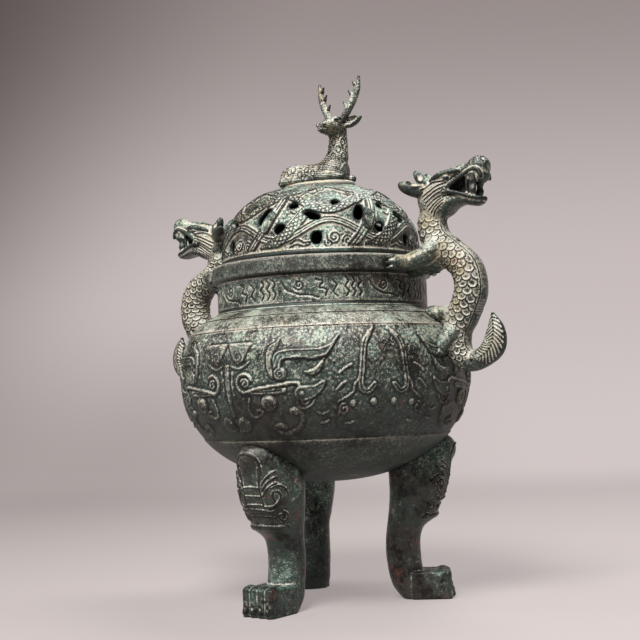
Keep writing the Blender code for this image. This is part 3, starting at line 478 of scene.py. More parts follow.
def patina(name, green=0.5, pale=0.5, ochre=0.1, red=0.3, worn=0.6, dust_and_top_light=0.3):
    """Old bronze: brown-black metal under green crusts, pale where worn or dusty and, as painted light from
    above, on upward faces; dark in its grooves, black in painted shade and other darkened places.
    """
    graph = Graph(name)
    relief = graph.attribute("relief")
    shade_and_darkening = graph.attribute("shade_and_darkening")
    facing = graph.node("ShaderNodeSeparateXYZ")
    graph.feed(facing.inputs[0], graph.node("ShaderNodeNewGeometry").outputs["Normal"])
    upper = graph.step(facing.outputs["Z"], -0.55, 0.40)
    broad = graph.noise(34.0, detail=5.0, rough=0.62, seed=1.0)
    patch = graph.noise(9.0, detail=6.0, rough=0.66, seed=5.0)
    fleck = graph.noise(2.2, detail=5.0, rough=0.72, seed=9.0)
    speck = graph.noise(0.8, detail=3.0, rough=0.7, seed=13.0)

    brown = graph.step(patch, 0.40, 0.62)
    colour = graph.mix(brown, BLACK_BRONZE, BROWN_BRONZE)
    crust = graph.total((broad, 0.40), (patch, 0.35), (fleck, 0.25))
    edge = 0.62 - 0.24 * green
    colour = graph.mix(graph.step(crust, edge - 0.05, edge + 0.04), colour, DEEP_GREEN)
    mint = graph.total((broad, 0.25), (patch, 0.30), (fleck, 0.30), (speck, 0.15), (upper, 0.08))
    colour = graph.mix(graph.step(mint, edge + 0.09, edge + 0.15), colour, VERDIGRIS)

    stain = graph.total((graph.noise(21.0, detail=4.0, rough=0.6, seed=17.0), 0.7), (fleck, 0.3))
    edge = 0.66 - 0.32 * ochre
    colour = graph.mix(graph.maths("MULTIPLY", graph.step(stain, edge, edge + 0.08), 0.6), colour, OCHRE)
    blotch = graph.noise(13.0, detail=6.0, rough=0.7, seed=23.0)
    edge = 0.74 - 0.22 * red
    colour = graph.mix(graph.maths("MULTIPLY", graph.step(blotch, edge, edge + 0.07), 0.8), colour, CUPRITE)

    paleness = graph.total((broad, 0.3), (patch, 0.35), (fleck, 0.55), (speck, 0.9))
    # Upward faces turn paler, partly settled dust and partly painted light from above
    paleness = graph.total((paleness, 1.0), (relief, 0.46 * worn), (upper, 0.4 * dust_and_top_light))
    edge = 1.05 + 0.23 * worn + 0.26 * dust_and_top_light + 0.5 * (0.5 - pale)
    pale_and_top_lit = graph.step(paleness, edge - 0.06, edge + 0.13)
    tint = graph.mix(graph.step(stain, 0.54 - 0.2 * ochre, 0.72 - 0.2 * ochre), PALE_CRUST, OCHRE)
    colour = graph.mix(graph.maths("MULTIPLY", pale_and_top_lit, 0.94), colour, tint)
    groove = graph.maths("MULTIPLY", graph.step(relief, 0.46, 0.16), 0.93)
    # Black also where the mesh paints shade (under the bowl, in the dragons' mouths, inside the lid) or
    # darkens the collar and the bowl's inside
    colour = graph.mix(graph.maths("MAXIMUM", groove, shade_and_darkening), colour, BLACK_BRONZE)

    graph.feed(graph.shader.inputs["Base Color"], colour)
    gloss = graph.total((pale_and_top_lit, 0.18), (brown, 0.10), (shade_and_darkening, 0.45))
    graph.feed(graph.shader.inputs["Roughness"], graph.maths("ADD", gloss, 0.27))
    graph.shader.inputs["Metallic"].default_value = 0.2
    graph.shader.inputs["Specular IOR Level"].default_value = 0.35
    pits = graph.total((fleck, 0.6), (speck, 0.4))
    graph.feed(graph.shader.inputs["Normal"], graph.bump(pits, 0.7, 0.9))
    return graph.material


# Bowl


def belly_radius(z):
    """The bowl's outer radius at a height below its neck."""
    drop = np.clip((BELLY_Z - z) / BELLY_DEPTH, 0.0, 1.0)
    rise = np.clip((z - BELLY_Z) / SHOULDER_RISE, 0.0, 1.0)
    low = (1 - drop**BELLY_FULLNESS) ** (1 / BELLY_FULLNESS)
    high = (1 - rise**SHOULDER_FULLNESS) ** (1 / SHOULDER_FULLNESS)
    return BELLY_RADIUS * np.where(z < BELLY_Z, low, high)


# Painted shade darkens the bowl's outer face below a height, more towards the underside; the collar is darker
# too, and the inside most of all
SHADE_TOP = 158.0
SHADE_FADE = 50.0
SHADE_BELOW = 0.5
COLLAR_DARKENING = 0.45
INSIDE_DARKENING = 0.85


def bowl_shade_and_darkening(z):
    """How far the bowl's outer face is darkened at a height: painted shade towards the underside, and a
    darker collar.
    """
    z = np.asarray(z)
    # Painted shade from just above the belly's widest point, deepening towards the underside
    below = SHADE_BELOW * ease((SHADE_TOP - z) / SHADE_FADE)
    return np.maximum(below, COLLAR_DARKENING * ease((z - COLLAR_Z + 1.0) / 3.0))


def even_heights(low, high, count):
    """Heights that split the bowl's outer face into rows of even width."""
    fine = np.linspace(low, high, 400)
    along = np.concatenate([[0.0], np.cumsum(np.hypot(np.diff(fine), np.diff(belly_radius(fine))))])
    return np.interp(np.linspace(0.0, along[-1], count), along, fine)


MASK_TURN = -94.0
MASK_REPEATS = 3
HALF_MASK = math.pi / MASK_REPEATS * BELLY_RADIUS


def mask_map(angle, z):
    """Distance round the belly from the nearest mask's middle, with a hand-drawn waver, and height."""
    points = round_points(BELLY_RADIUS, angle, z)
    round_belly = (angle - math.radians(MASK_TURN)) * BELLY_RADIUS
    round_belly = np.abs((round_belly + HALF_MASK) % (2 * HALF_MASK) - HALF_MASK)
    return round_belly + 0.5 * grain(points, 17.0, 3), z + 0.4 * grain(points, 15.0, 4)


def draw_brow(carving):
    """Horn, brow scroll and eye of one half of the mask."""
    horn_top = [(34.1, 156.6), (34.6, 161), (35.9, 164.7), (39.7, 166.7), (46.9, 167.3), (56.6, 167.2),
                (64.2, 167.5), (70.7, 169.6), (74.2, 173.2), (76.3, 175.7)]
    horn_low = [(74.1, 172.5), (70.6, 167), (67.9, 164), (59, 162.1), (53.3, 162.9), (44.9, 163), (41, 162.5),
                (38.9, 160.8), (38.2, 157)]
    carving.plate(horn_top + horn_low, 0.9, 1.2)
    for side in (horn_top[1:], horn_low):
        carving.line(side, 1.3, 1.7)
    strip = [(33.2, 150.6), (31.0, 155.0), (30.4, 161.0), (30.8, 167.4), (33.4, 170.8), (36.6, 172.2),
             (38.4, 175.4)]
    strip_back = [(38.2, 171.6), (36.4, 168.9), (34.0, 165.8), (33.0, 161.0), (33.4, 155.0)]
    carving.plate(strip + strip_back, 1.0, 0.9)
    carving.line(strip, 1.2, 1.5)
    carving.boss((38.5, 152.8), 4.3, 1.5)
    carving.line(spiral((38.5, 152.8), 3.6, 1.6, 100), 1.5, 2.0, 2)
    curl = spiral((13.4, 147.8), 5.8, 0.7, 20.0, 1.0)
    scroll = [*curl, (19.1, 143.8), (29.3, 145.2), (39.6, 146.4), (44.9, 147.2), (49.5, 147), (50.6, 145)]
    carving.line(scroll, 2.1, 1.5, 2)
    carving.line(spiral((13.6, 147.6), 3.2, -1.3, 150), 1.4, 1.1, 2)
    carving.plate([(16.3, 141.2), (18.9, 143.2), (27.6, 143.9), (40.1, 144.6), (41.8, 142.8), (39.9, 141),
                   (28.8, 140.4)], 1.1, 1.0)
    carving.line([(19.5, 142.2), (29, 142.4), (38.8, 142.9)], 1.1, -0.8)
    carving.boss((29.4, 135.2), 5.4, 3.4)
    cheek = [(15.9, 138.4), (14.2, 132.7), (15.4, 127.5), (20, 126.8), (24.7, 129.9), (20.3, 130.9)]
    carving.line(cheek, 1.5, 1.1)


def draw_leaves(carving):
    """Leaf ears, tongue and jaw of one half of the mask."""
    leaf = [(49.9, 144.1), (47.8, 141), (48.8, 137.9), (52.6, 136.5), (58.6, 138.1), (63.9, 142.3),
            (66, 147.8), (60.9, 144.9), (54.4, 144.2)]
    carving.plate(leaf, 0.8, 1.2)
    carving.line([*leaf, leaf[0]], 1.3, 1.4)
    carving.boss((52.0, 140.4), 2.0, 1.6)
    carving.line([(48.7, 136.6), (48.6, 132.9), (52.1, 130.9), (57.6, 133.2), (59.7, 136.2)], 1.3, 1.0)
    carving.line([(51.6, 135.4), (53.6, 133.6), (56.6, 135.6)], 1.1, 0.8)
    carving.plate([(54.0, 154.0), (59.4, 155.5), (64.6, 159.7), (68.4, 163.0), (65.2, 159.2), (63.8, 156),
                   (59.9, 152.4)], 1.4, 1.3)
    carving.line([(54.3, 153.6), (59.9, 152.2), (63.9, 155.8), (65.4, 159.6)], 1.0, 1.6)
    jaw = [(43.9, 129.9), (47.4, 130.6), (50.6, 127.4), (50.3, 122.1), (45.9, 117.8), (37.9, 116),
           (31.2, 118.8), (34, 121.2), (38.6, 119.8)]
    carving.line(jaw, 3.4, 1.3)
    carving.line(jaw, 1.0, 1.7)
    carving.boss((47.2, 129.4), 2.2, 1.8)


def draw_nose(carving):
    """Nose ridge, forehead and snout on the middle of the mask."""
    carving.line([(0, 128), (0, 142), (0, 159)], 3.0, 0.9)
    carving.line([(4.6, 140), (3.4, 147), (4.4, 156)], 1.1, 0.8)
    carving.plate([(0, 117.5), (3.3, 125.6), (7.5, 127.2), (11, 125), (12.6, 121), (9, 117.6)], 1.7, 2.6)
    carving.line([(2.6, 122.6), (7, 124.8), (11.4, 122.2)], 1.0, 2.0)
    forehead = [(0, 174), (10, 174), (18.6, 173.2), (16.8, 169.6), (14.7, 165.7), (12.2, 161.6),
                (9.2, 160), (5.8, 162)]
    carving.plate(forehead, 1.0, 1.3)
    carving.line(spiral((9.3, 164.6), 4.0, 1.5, -60), 1.2, 1.5, 2)
    carving.line([(3.2, 159.2), (8.4, 157.2), (13.6, 158.6), (17.4, 161.4)], 1.3, 0.9)


def draw_blades(carving):
    """The upright blades between two masks, and the knobs and strokes beside them."""
    blade = [(96.6, 177), (92.8, 171.4), (90.8, 163.8), (89.7, 155.1), (88.8, 146.4), (90.3, 141.3),
             (94.3, 140.4), (97.8, 144.2)]
    carving.line(blade, 3.6, 1.6)
    carving.line(blade, 1.3, -1.2)
    carving.line([(94.6, 174.4), (97.2, 177.4), (99.6, 180.0)], 2.0, 1.5)
    carving.line([(87.4, 148), (85.1, 144.6), (84.4, 140.3), (79.8, 136.7), (74, 133.8)], 1.5, 1.2)
    carving.boss((97.8, 133.5), 2.4, 1.8)
    carving.boss((84.3, 132.9), 2.2, 1.6)
    carving.line(spiral((78.6, 129.4), 3.6, 1.3, 80.0), 1.3, 1.1, 2)
    strokes = ([(83.2, 157.4), (79.0, 155.2), (75.1, 152.2)], [(79.8, 147), (77.2, 145.6), (73.5, 141.7)],
               [(68.2, 122.8), (65.6, 121.8), (62.8, 121.8)], [(85, 121.6), (82.4, 120.8), (79.6, 121)],
               [(72.6, 130.6), (75.4, 128.2), (74.4, 125)], [(60.8, 128.6), (64, 127), (68.4, 128.2)])
    for stroke in strokes:
        carving.line(stroke, 1.6, 1.0)


BAND_COLUMNS = 888
BAND_ROWS = 100
BAND_DEPTH = 2.6
BAND_EDGE = 0.9
STIPPLE_HEIGHT = 0.20
STIPPLE_SIZE = 1.3


def make_belly_band(material):
    """The ornament band round the belly: masks, blades and a stippled ground, sunk below the plain metal."""
    z = even_heights(BAND_BOTTOM, BAND_TOP, BAND_ROWS)[:, None]
    angle, z = np.broadcast_arrays(round_angles(BAND_COLUMNS), z)
    carving = Carving(*mask_map(angle, z))
    for draw in (draw_brow, draw_leaves, draw_nose, draw_blades):
        draw(carving)
    radius = belly_radius(z)
    points = round_points(radius, angle, z)
    ground = STIPPLE_HEIGHT * grain(points, STIPPLE_SIZE, 11) + 0.10 * grain(points, 4.0, 12)
    height = carving.height * (0.86 + 0.14 * grain(points, 9.0, 13)) + ground * np.exp(-carving.height)
    edge = np.minimum(z - BAND_BOTTOM, BAND_TOP - z)
    sink = BAND_SINK * ease(edge / BAND_EDGE + 0.3)
    slope = np.gradient(belly_radius(z[:, 0]), z[:, 0])
    out = 1 / np.hypot(1.0, slope)[:, None]
    lift = height - sink
    face = round_points(radius + lift * out, angle, z - lift * out * slope[:, None])
    levels = (BAND_TOP, BELLY_Z, BAND_BOTTOM)
    back = turned_points([(belly_radius(level) - BAND_DEPTH, level) for level in levels], BAND_COLUMNS)
    points = np.concatenate([face, back]).reshape(-1, 3)
    quads = grid_faces(BAND_ROWS + len(levels), BAND_COLUMNS, True)
    # Painted shade, darker towards the bottom of the band
    shade_and_darkening = bowl_shade_and_darkening(points[:, 2])
    place("bowl_belly_band", points, quads, material, "vessel", "bowl_bronze", shade_and_darkening=shade_and_darkening)


# The shell lies behind the bands, has a cut line on its shoulder and softened edges at collar and rim
SHELL_COLUMNS = 360
BEHIND_BELLY_BAND = 1.9
BEHIND_NECK_BAND = 1.2
CUT_LINE_DEPTH = 0.6
COLLAR_SOFTEN = 1.6
RIM_SOFTEN = 1.8
MOUTH_SOFTEN = 0.8


def belly_profile():
    """The outer face from the lowest point to the foot of the neck."""
    below = even_heights(UNDERSIDE_Z + 0.05, BAND_BOTTOM, 40)
    line = SHOULDER_LINE + np.array([-0.7, -0.25, 0.25, 0.7])
    above = np.sort([*even_heights(BAND_TOP, NECK_Z - 0.6, 22), *line])
    outside = [(0.0, UNDERSIDE_Z)] + [(belly_radius(z), z) for z in below]
    outside += [(belly_radius(z) - BEHIND_BELLY_BAND, z) for z in even_heights(BAND_BOTTOM, BAND_TOP, 24)]
    outside += [(belly_radius(z) - CUT_LINE_DEPTH * (abs(z - SHOULDER_LINE) < 0.3), z) for z in above]
    return outside


def neck_profile():
    """The outer face of the neck, stepped back where its band lies."""
    recess = NECK_RADIUS - BEHIND_NECK_BAND
    return [
        (NECK_RADIUS + 1.6, NECK_Z - 0.2),
        (NECK_RADIUS + 0.5, NECK_Z + 0.5),
        (NECK_RADIUS, NECK_Z + 1.6),
        (NECK_RADIUS, NECK_BOTTOM),
        (recess, NECK_BOTTOM),
        (recess, NECK_TOP),
        (NECK_RADIUS, NECK_TOP),
        (NECK_RADIUS + 0.3, COLLAR_Z - 0.7),
        (NECK_RADIUS + 1.2, COLLAR_Z),
    ]


def collar_profile():
    """The collar from its lower edge over the rim to the underside of the lip."""
    turns = np.linspace(0.0, math.pi / 2, 6)
    low, high = COLLAR_RADIUS - COLLAR_SOFTEN, COLLAR_RADIUS - RIM_SOFTEN
    collar = [
        (low + COLLAR_SOFTEN * math.sin(turn), COLLAR_Z + COLLAR_SOFTEN - COLLAR_SOFTEN * math.cos(turn))
        for turn in turns
    ]
    collar += [(COLLAR_RADIUS, COLLAR_Z + COLLAR_HEIGHT * share) for share in (0.3, 0.42, 0.54, 0.66, 0.78)]
    collar += [
        (high + RIM_SOFTEN * math.cos(turn), RIM_Z - RIM_SOFTEN + RIM_SOFTEN * math.sin(turn))
        for turn in turns
    ]
    lip = [(MOUTH_RADIUS + MOUTH_SOFTEN, RIM_Z), (MOUTH_RADIUS, RIM_Z - MOUTH_SOFTEN)]
    return collar + lip + [(MOUTH_RADIUS, RIM_Z - LIP_THICKNESS)]


def inside_profile():
    """The inner face from under the lip down to the bottom."""
    neck = NECK_RADIUS - BOWL_WALL
    throat = [(neck, RIM_Z - LIP_THICKNESS - 0.5), (neck, NECK_Z)]
    heights = np.linspace(NECK_Z - 3.0, UNDERSIDE_Z + 9.0, 30)
    inside = [(max(belly_radius(z) - BOWL_WALL, 0.0), z) for z in heights]
    return throat + inside + [(30.0, UNDERSIDE_Z + BOWL_WALL + 1.0), (0.0, UNDERSIDE_Z + BOWL_WALL)]


def make_bowl_shell(material):
    """The plain metal of the bowl, a little uneven as cast metal is."""
    outer = belly_profile() + neck_profile() + collar_profile()
    inner = inside_profile()
    # Painted shade towards the underside and a darker collar outside; the inside darker still
    shade_and_darkening = [bowl_shade_and_darkening(z) for _, z in outer] + [INSIDE_DARKENING] * len(inner)
    points = turned_points(outer + inner, SHELL_COLUMNS)
    direction = points.copy()
    direction[..., 2] = 0.0
    direction /= np.maximum(np.linalg.norm(direction, axis=-1, keepdims=True), 1e-6)
    waver = 0.16 * grain(points, 14.0, 21) + 0.07 * grain(points, 3.0, 22)
    points = points + direction * waver[..., None]
    quads = grid_faces(len(points), SHELL_COLUMNS)
    shade_and_darkening = np.repeat(shade_and_darkening, SHELL_COLUMNS)
    place("bowl_shell", points.reshape(-1, 3), quads, material, "vessel", "bowl_bronze", ("bowl",), shade_and_darkening)


NECK_COLUMNS = 640
NECK_ROWS = 30
NECK_BAND_DEPTH = 2.2


def draw_neck(carving):
    """Wavy strokes, a long S-curve and a small coil, cut into the neck."""
    for step in range(3):
        across = 2.0 + 4.4 * step
        wave = [(across, 15), (across + 1.5, 12.4), (across - 0.4, 9.2), (across + 1.6, 6), (across + 0.4, 3)]
        carving.line(wave, 1.5, -0.7)
    carving.line([(18, 13.6), (20.4, 8.8), (27, 5.4), (36, 4.4), (41, 2.6)], 1.4, -0.6)
    carving.line(spiral((28.5, 11.2), 3.6, 1.4, 200), 1.4, -0.6, 2)
    carving.line([(40, 14.6), (44, 12.6), (42, 9), (46.4, 7.4), (45.6, 3.4)], 1.5, -0.7)
    carving.line([(50.4, 13.6), (53, 10.4), (51, 6.6), (53.6, 3.2)], 1.4, -0.6)


def make_neck_band(material):
    """The neck's face with its cut ornament."""
    z = np.linspace(NECK_BOTTOM, NECK_TOP, NECK_ROWS)[:, None]
    angle, z = np.broadcast_arrays(round_angles(NECK_COLUMNS), z)
    points = round_points(NECK_RADIUS, angle, z)
    repeat = 2 * math.pi * NECK_RADIUS / NECK_REPEATS
    waver = 0.5 * grain(points, 9.0, 24)
    carving = Carving((angle * NECK_RADIUS) % repeat + waver, z - NECK_BOTTOM + waver)
    draw_neck(carving)
    lift = carving.height + 0.10 * grain(points, 2.0, 25) + 0.12 * grain(points, 8.0, 26)
    lift *= ease(np.minimum(z - NECK_BOTTOM, NECK_TOP - z) / 1.2)
    face = points + lift[..., None] * np.stack([np.cos(angle), np.sin(angle), 0 * z], -1)
    levels = (NECK_TOP, NECK_BOTTOM)
    back = turned_points([(NECK_RADIUS - NECK_BAND_DEPTH, level) for level in levels], NECK_COLUMNS)
    points = np.concatenate([face, back]).reshape(-1, 3)
    quads = grid_faces(NECK_ROWS + len(levels), NECK_COLUMNS, True)
    place("bowl_neck_band", points, quads, material, "vessel", "bowl_bronze")


# Shared forms


def section_distance(across, tall, half_across, half_tall, power=2.0):
    """Distance from a rounded section with the given half-sizes."""
    reach = (np.abs(across) / half_across) ** power + (np.abs(tall) / half_tall) ** power
    return np.hypot(across, tall) * (1 - np.maximum(reach, 1e-4) ** (-1 / power))


def read_rows(rows, where, steps=6):
    """Each column after the first, read at places along the first column's smooth rows."""
    rows = smooth_rows(rows, steps)
    rows = rows[np.argsort(rows[:, 0], kind="stable")]
    return [np.interp(where, rows[:, 0], column) for column in rows[:, 1:].T]


def long_form(rows, power=2.3):
    """A form along x from rows of x, underside, top and half-width."""
    ends = min(row[0] for row in rows), max(row[0] for row in rows)

    def shape(x, y, z):
        low, top, half = read_rows(rows, x)
        away = section_distance(y, z - (low + top) / 2, half, (top - low) / 2, power)
        return np.maximum(away, np.maximum(ends[0] - x, x - ends[1]))

    return shape


def upright_form(rows, power=2.3):
    """A form along z from rows of z, inner and outer x, and half-width."""
    ends = min(row[0] for row in rows), max(row[0] for row in rows)

    def shape(x, y, z):
        inner, outer, half = read_rows(rows, z)
        away = section_distance(x - (inner + outer) / 2, y, (outer - inner) / 2, half, power)
        return np.maximum(away, np.maximum(ends[0] - z, z - ends[1]))

    return shape


def mirrored(rows, hand):
    """Rows of x, y, z and radius, with y on the given side."""
    rows = np.array(rows, float)
    rows[:, 1] *= hand
    return rows


def side_bar(field, rows, hand, blend):
    """Joins a bar along a smooth curve through rows of x, y, z and radius, on one side of the middle."""
    field.rod(mirrored(smooth_rows(rows, 3), hand), blend)


def raised_rows(rows, base):
    """Rows of x, underside, top and half-width, with their heights told from a base."""
    return [(x, low + base, top + base, half) for x, low, top, half in rows]


def scale_net(along, across, pitch, width):
    """Overlapping scales: 1 on each scale's free edge, which points back, and a low swell on its middle."""
    radius = 0.62 * width
    height = np.zeros(np.broadcast(along, across).shape)
    open_still = np.ones(height.shape, bool)
    first = np.floor((along + radius) / pitch)
    for step in range(3):
        row = first - step
        shift = (row % 2) * 0.5
        beside = across / width - shift
        beside = (beside - np.round(beside)) * width
        away = np.hypot(along - row * pitch, beside)
        inside = open_still & (away < radius)
        rim = np.exp(-(((radius - away - 0.5) / 0.5) ** 2))
        height = np.where(inside, np.maximum(rim, 0.25 * (1 - away / radius)), height)
        open_still &= ~inside
    return height


def bowl_distance(x, y, z):
    """Distance from the bowl's outer form, taken as solid."""
    radius = np.hypot(x, y)
    belly = np.maximum(radius - belly_radius(np.minimum(z, NECK_Z)), z - NECK_Z - 1.0)
    neck = np.maximum(radius - NECK_RADIUS, np.maximum(BELLY_Z - z, z - RIM_Z))
    collar = np.maximum(radius - COLLAR_RADIUS, np.maximum(COLLAR_Z - z, z - RIM_Z))
    return np.minimum(np.minimum(belly, neck), collar)


def seat_on_bowl(field, sunk=0.8):
    """Cuts a form to the bowl's face, sunk a little into it so that no gap shows."""
    field.cut(lambda x, y, z: bowl_distance(x, y, z) + sunk)


def cast_skin(field, amount=0.12, size=2.2, seed=31):
    """Makes a form's surface a little uneven, as cast metal is."""
    near, points = field.near_skin()
    field.distance[near] -= amount * grain(points, size, seed) + amount * grain(points, 3 * size, seed + 1)


# Dragon handles


DRAGON_SPINE = (
    # distance from the vessel's axis, height, half-depth in the dragon's plane, half-width across it
    (130.0, 187.0, 1.0, 1.0),
    (131.8, 176.5, 6.2, 4.0),
    (130.2, 166.5, 8.0, 5.0),
    (123.0, 159.8, 6.8, 5.8),
    (113.0, 157.6, 7.0, 6.8),
    (105.5, 164.5, 8.2, 8.2),
    (104.8, 177.0, 9.2, 9.0),
    (110.5, 189.0, 10.2, 10.0),
    (115.8, 203.0, 10.6, 10.2),
    (113.5, 217.0, 10.3, 10.0),
    (103.5, 227.5, 9.8, 9.5),
    (93.0, 237.0, 9.8, 9.2),
    (89.8, 248.0, 9.6, 9.0),
    (92.6, 259.0, 9.4, 9.0),
    (98.2, 267.0, 8.0, 8.0),
)
DRAGON_SKULL = (
    # distance from the vessel's axis, underside, top, half-width
    (82.6, 259.0, 269.0, 6.0),
    (87.4, 254.0, 273.6, 9.2),
    (93.6, 256.5, 277.2, 10.6),
    (100.5, 262.5, 279.3, 11.1),
    (106.5, 268.5, 280.5, 9.9),
    (112.2, 273.5, 281.8, 8.3),
    (118.0, 276.0, 284.4, 7.3),
    (123.4, 276.8, 287.4, 7.0),
    (128.2, 276.0, 287.2, 6.4),
    (131.6, 278.0, 283.5, 4.0),
)
DRAGON_JAW = (
    (93.0, 251.0, 265.0, 8.5),
    (101.8, 252.0, 267.5, 9.2),
    (107.8, 256.2, 267.0, 8.4),
    (114.0, 258.0, 265.5, 7.2),
    (119.6, 256.8, 263.7, 6.4),
    (124.2, 256.2, 262.0, 5.2),
    (127.8, 257.4, 260.8, 3.0),
)
DRAGON_THROAT = (
    (99.0, 257.0, 276.0, 3.4),
    (107.0, 260.0, 276.5, 3.2),
    (114.0, 261.0, 278.0, 2.6),
    (119.5, 261.5, 279.0, 1.4),
)
HEAD_DROPS = {"right": 0.0, "left": 11.0}
HANDLE_SIDES = {"right": 1.0, "left": -1.0}
NECK_EASE = 30.0
DRAGON_BOX = (71, -33, 148), (139, 33, 292)
DRAGON_STEP = 0.55
DRAGON_ROUND = 9.4
SCALES_START = 40.0
SCALES_END = 153.0
SCALES_SIDE = 2.50
SCALE_PITCH = 4.2
SCALE_WIDTH = 5.6
SCALE_HEIGHT = 0.8
BORDER_SIDE = 2.58
BORDER_WIDTH = 0.55
BORDER_HEIGHT = 0.5
LEAF_END = 34.0
VEIN_PITCH = 2.3
MANE_LOCKS = 7


def spine_map(x, z):
    """For places in the dragon's plane: length along the spine, distance to its breast side, half-sizes."""
    path = smooth_rows(DRAGON_SPINE, 14)
    ahead = np.gradient(path[:, :2], axis=0)
    ahead /= np.linalg.norm(ahead, axis=1, keepdims=True)
    length = np.concatenate([[0.0], np.cumsum(np.linalg.norm(np.diff(path[:, :2], axis=0), axis=1))])
    x, z = np.broadcast_arrays(x[:, 0, :], z[:, 0, :])
    nearest = np.argmin((x[..., None] - path[:, 0]) ** 2 + (z[..., None] - path[:, 1]) ** 2, axis=-1)
    dx, dz = x - path[nearest, 0], z - path[nearest, 1]
    along = length[nearest] + dx * ahead[nearest, 0] + dz * ahead[nearest, 1]
    breast = dx * ahead[nearest, 1] - dz * ahead[nearest, 0]
    deep, wide = (np.interp(along, length, path[:, way]) for way in (2, 3))
    return [part[:, None, :] for part in (along, breast, deep, wide, np.maximum(-along, along - length[-1]))]


def dragon_body(field):
    """The S-shaped body with its scaled back and flanks, plain breast and leaf tail."""
    along, breast, deep, wide, beyond = spine_map(*field.window()[1][::2])
    y = field.window()[1][1]
    away = section_distance(breast, y, deep, wide)
    field.distance = np.where(beyond > 0, np.hypot(np.maximum(away, 0.0), beyond), away).astype(np.float32)
    round_body = np.arctan2(y / wide, -breast / deep)
    scales = ease((along - SCALES_START) / 4.0) * ease((SCALES_END - along) / 5.0)
    scales = scales * ease((SCALES_SIDE - np.abs(round_body)) / 0.06)
    height = SCALE_HEIGHT * scales * scale_net(along, DRAGON_ROUND * round_body, SCALE_PITCH, SCALE_WIDTH)
    border = np.exp(-(((np.abs(round_body) - BORDER_SIDE) * DRAGON_ROUND / BORDER_WIDTH) ** 2))
    border = border * ease((along - 36.0) / 4.0)
    height += BORDER_HEIGHT * border * ease((150.0 - along) / 6.0)
    leaf = ease((LEAF_END - along) / 4.0) * ease((0.86 - np.abs(breast) / deep) / 0.05)
    veins = np.cos(2 * math.pi * (along - 0.8 * np.abs(breast)) / VEIN_PITCH)
    height += leaf * (0.34 * veins + 0.55 * np.exp(-((breast / 0.6) ** 2)) - 0.25)
    field.distance -= (height * (np.abs(away) < Field.SKIN_REACH)).astype(np.float32)


def dragon_mouth(field, hand):
    """Lips and fangs on one side of the mouth."""
    corner = (104.5, 9.6, 267.2, 1.4)
    upper = [corner, (107.2, 9.3, 269.8, 1.4), (111, 8.7, 272.6, 1.3), (115.6, 8.0, 275.4, 1.2),
             (120.6, 7.2, 278.0, 1.2), (125, 7.0, 279.4, 1.2), (128.2, 6.6, 277.4, 1.2),
             (129.4, 6.2, 273.6, 1.2)]
    lower = [corner, (109, 8.8, 266.2, 1.3), (115, 7.4, 264.4, 1.3), (121, 6.2, 262.2, 1.3),
             (126.4, 4.0, 260.6, 1.3), (128.6, 0.0, 260.4, 1.3)]
    for lip in (upper, lower):
        side_bar(field, lip, hand, 0.8)
    fang = [(123.2, 5.2, 276, 2.8), (123, 5.6, 272, 2.6), (122.6, 5.4, 269, 1.9), (122.6, 5.4, 266, 2.4),
            (122.2, 4.8, 261.6, 1.8)]
    field.rod(mirrored(fang, hand), 0.5)
    tooth = [(119, 5.8, 277, 1.3), (118.8, 5.6, 270, 1.0), (118.6, 5.2, 263.6, 1.2)]
    field.rod(mirrored(tooth, hand), 0.3)


def dragon_brow(field, hand):
    """Brow and eye on one side."""
    brow = [(94.6, 9.2, 275.0, 1.2), (101.5, 10.4, 277.6, 1.8), (108.5, 9.4, 279.0, 1.7),
            (114.5, 7.6, 279.4, 1.1)]
    side_bar(field, brow, hand, 0.7)
    field.ball((106.0, 10.0 * hand, 275.4), (2.6, 1.7, 1.9), 0.3)


def dragon_ear(field, hand):
    """The hollowed ear and the tuft above it on one side."""
    ear = [(86.5, 6, 269, 4.2), (82.5, 11, 271, 4.4), (78.6, 14.6, 272.4, 3.4), (76.4, 17.0, 274, 1.2)]
    side_bar(field, ear, hand, 1.5)
    field.hollow((84.8, 12.8 * hand, 274.4), (6.0, 4.6, 2.2), (74, -22, 266), (94, 22, 280), 0.6)
    tuft = [(90.5, 5.2, 273.5, 3.6), (85.6, 6.4, 278.0, 3.2), (83.0, 7.0, 281.8, 1.8)]
    side_bar(field, tuft, hand, 1.0)
    field.hollow((87.2, 9.6 * hand, 279.2), (2.4, 1.8, 3.2), (80, -14, 273), (94, 14, 286), 0.5)


def dragon_head(field):
    """Skull and jaw with a bulbous nose and an open mouth, and what is paired on both sides."""
    field.add(long_form(DRAGON_SKULL), (78, -14, 248), (136, 14, 290), 3.0)
    field.add(long_form(DRAGON_JAW), (90, -12, 248), (132, 12, 272), 2.0)
    field.add(long_form(DRAGON_THROAT), (96, -5, 254), (122, 5, 282))
    field.ball((126.0, 0.0, 282.6), (6.4, 6.6, 5.9), 2.0)
    field.ball((127.2, 0.0, 276.2), (4.8, 6.3, 6.0), 1.5)
    field.rod([(86, 0, 272.2, 2.0), (95, 0, 277.6, 2.4), (106, 0, 280.8, 2.2), (116, 0, 283.2, 1.8)], 1.2)
    for hand in (1, -1):
        dragon_mouth(field, hand)
        dragon_brow(field, hand)
        dragon_ear(field, hand)
        field.hollow((130.2, 3.4 * hand, 286.0), (1.5, 1.2, 1.5), (126, -7, 282), (135, 7, 290), 0.5)


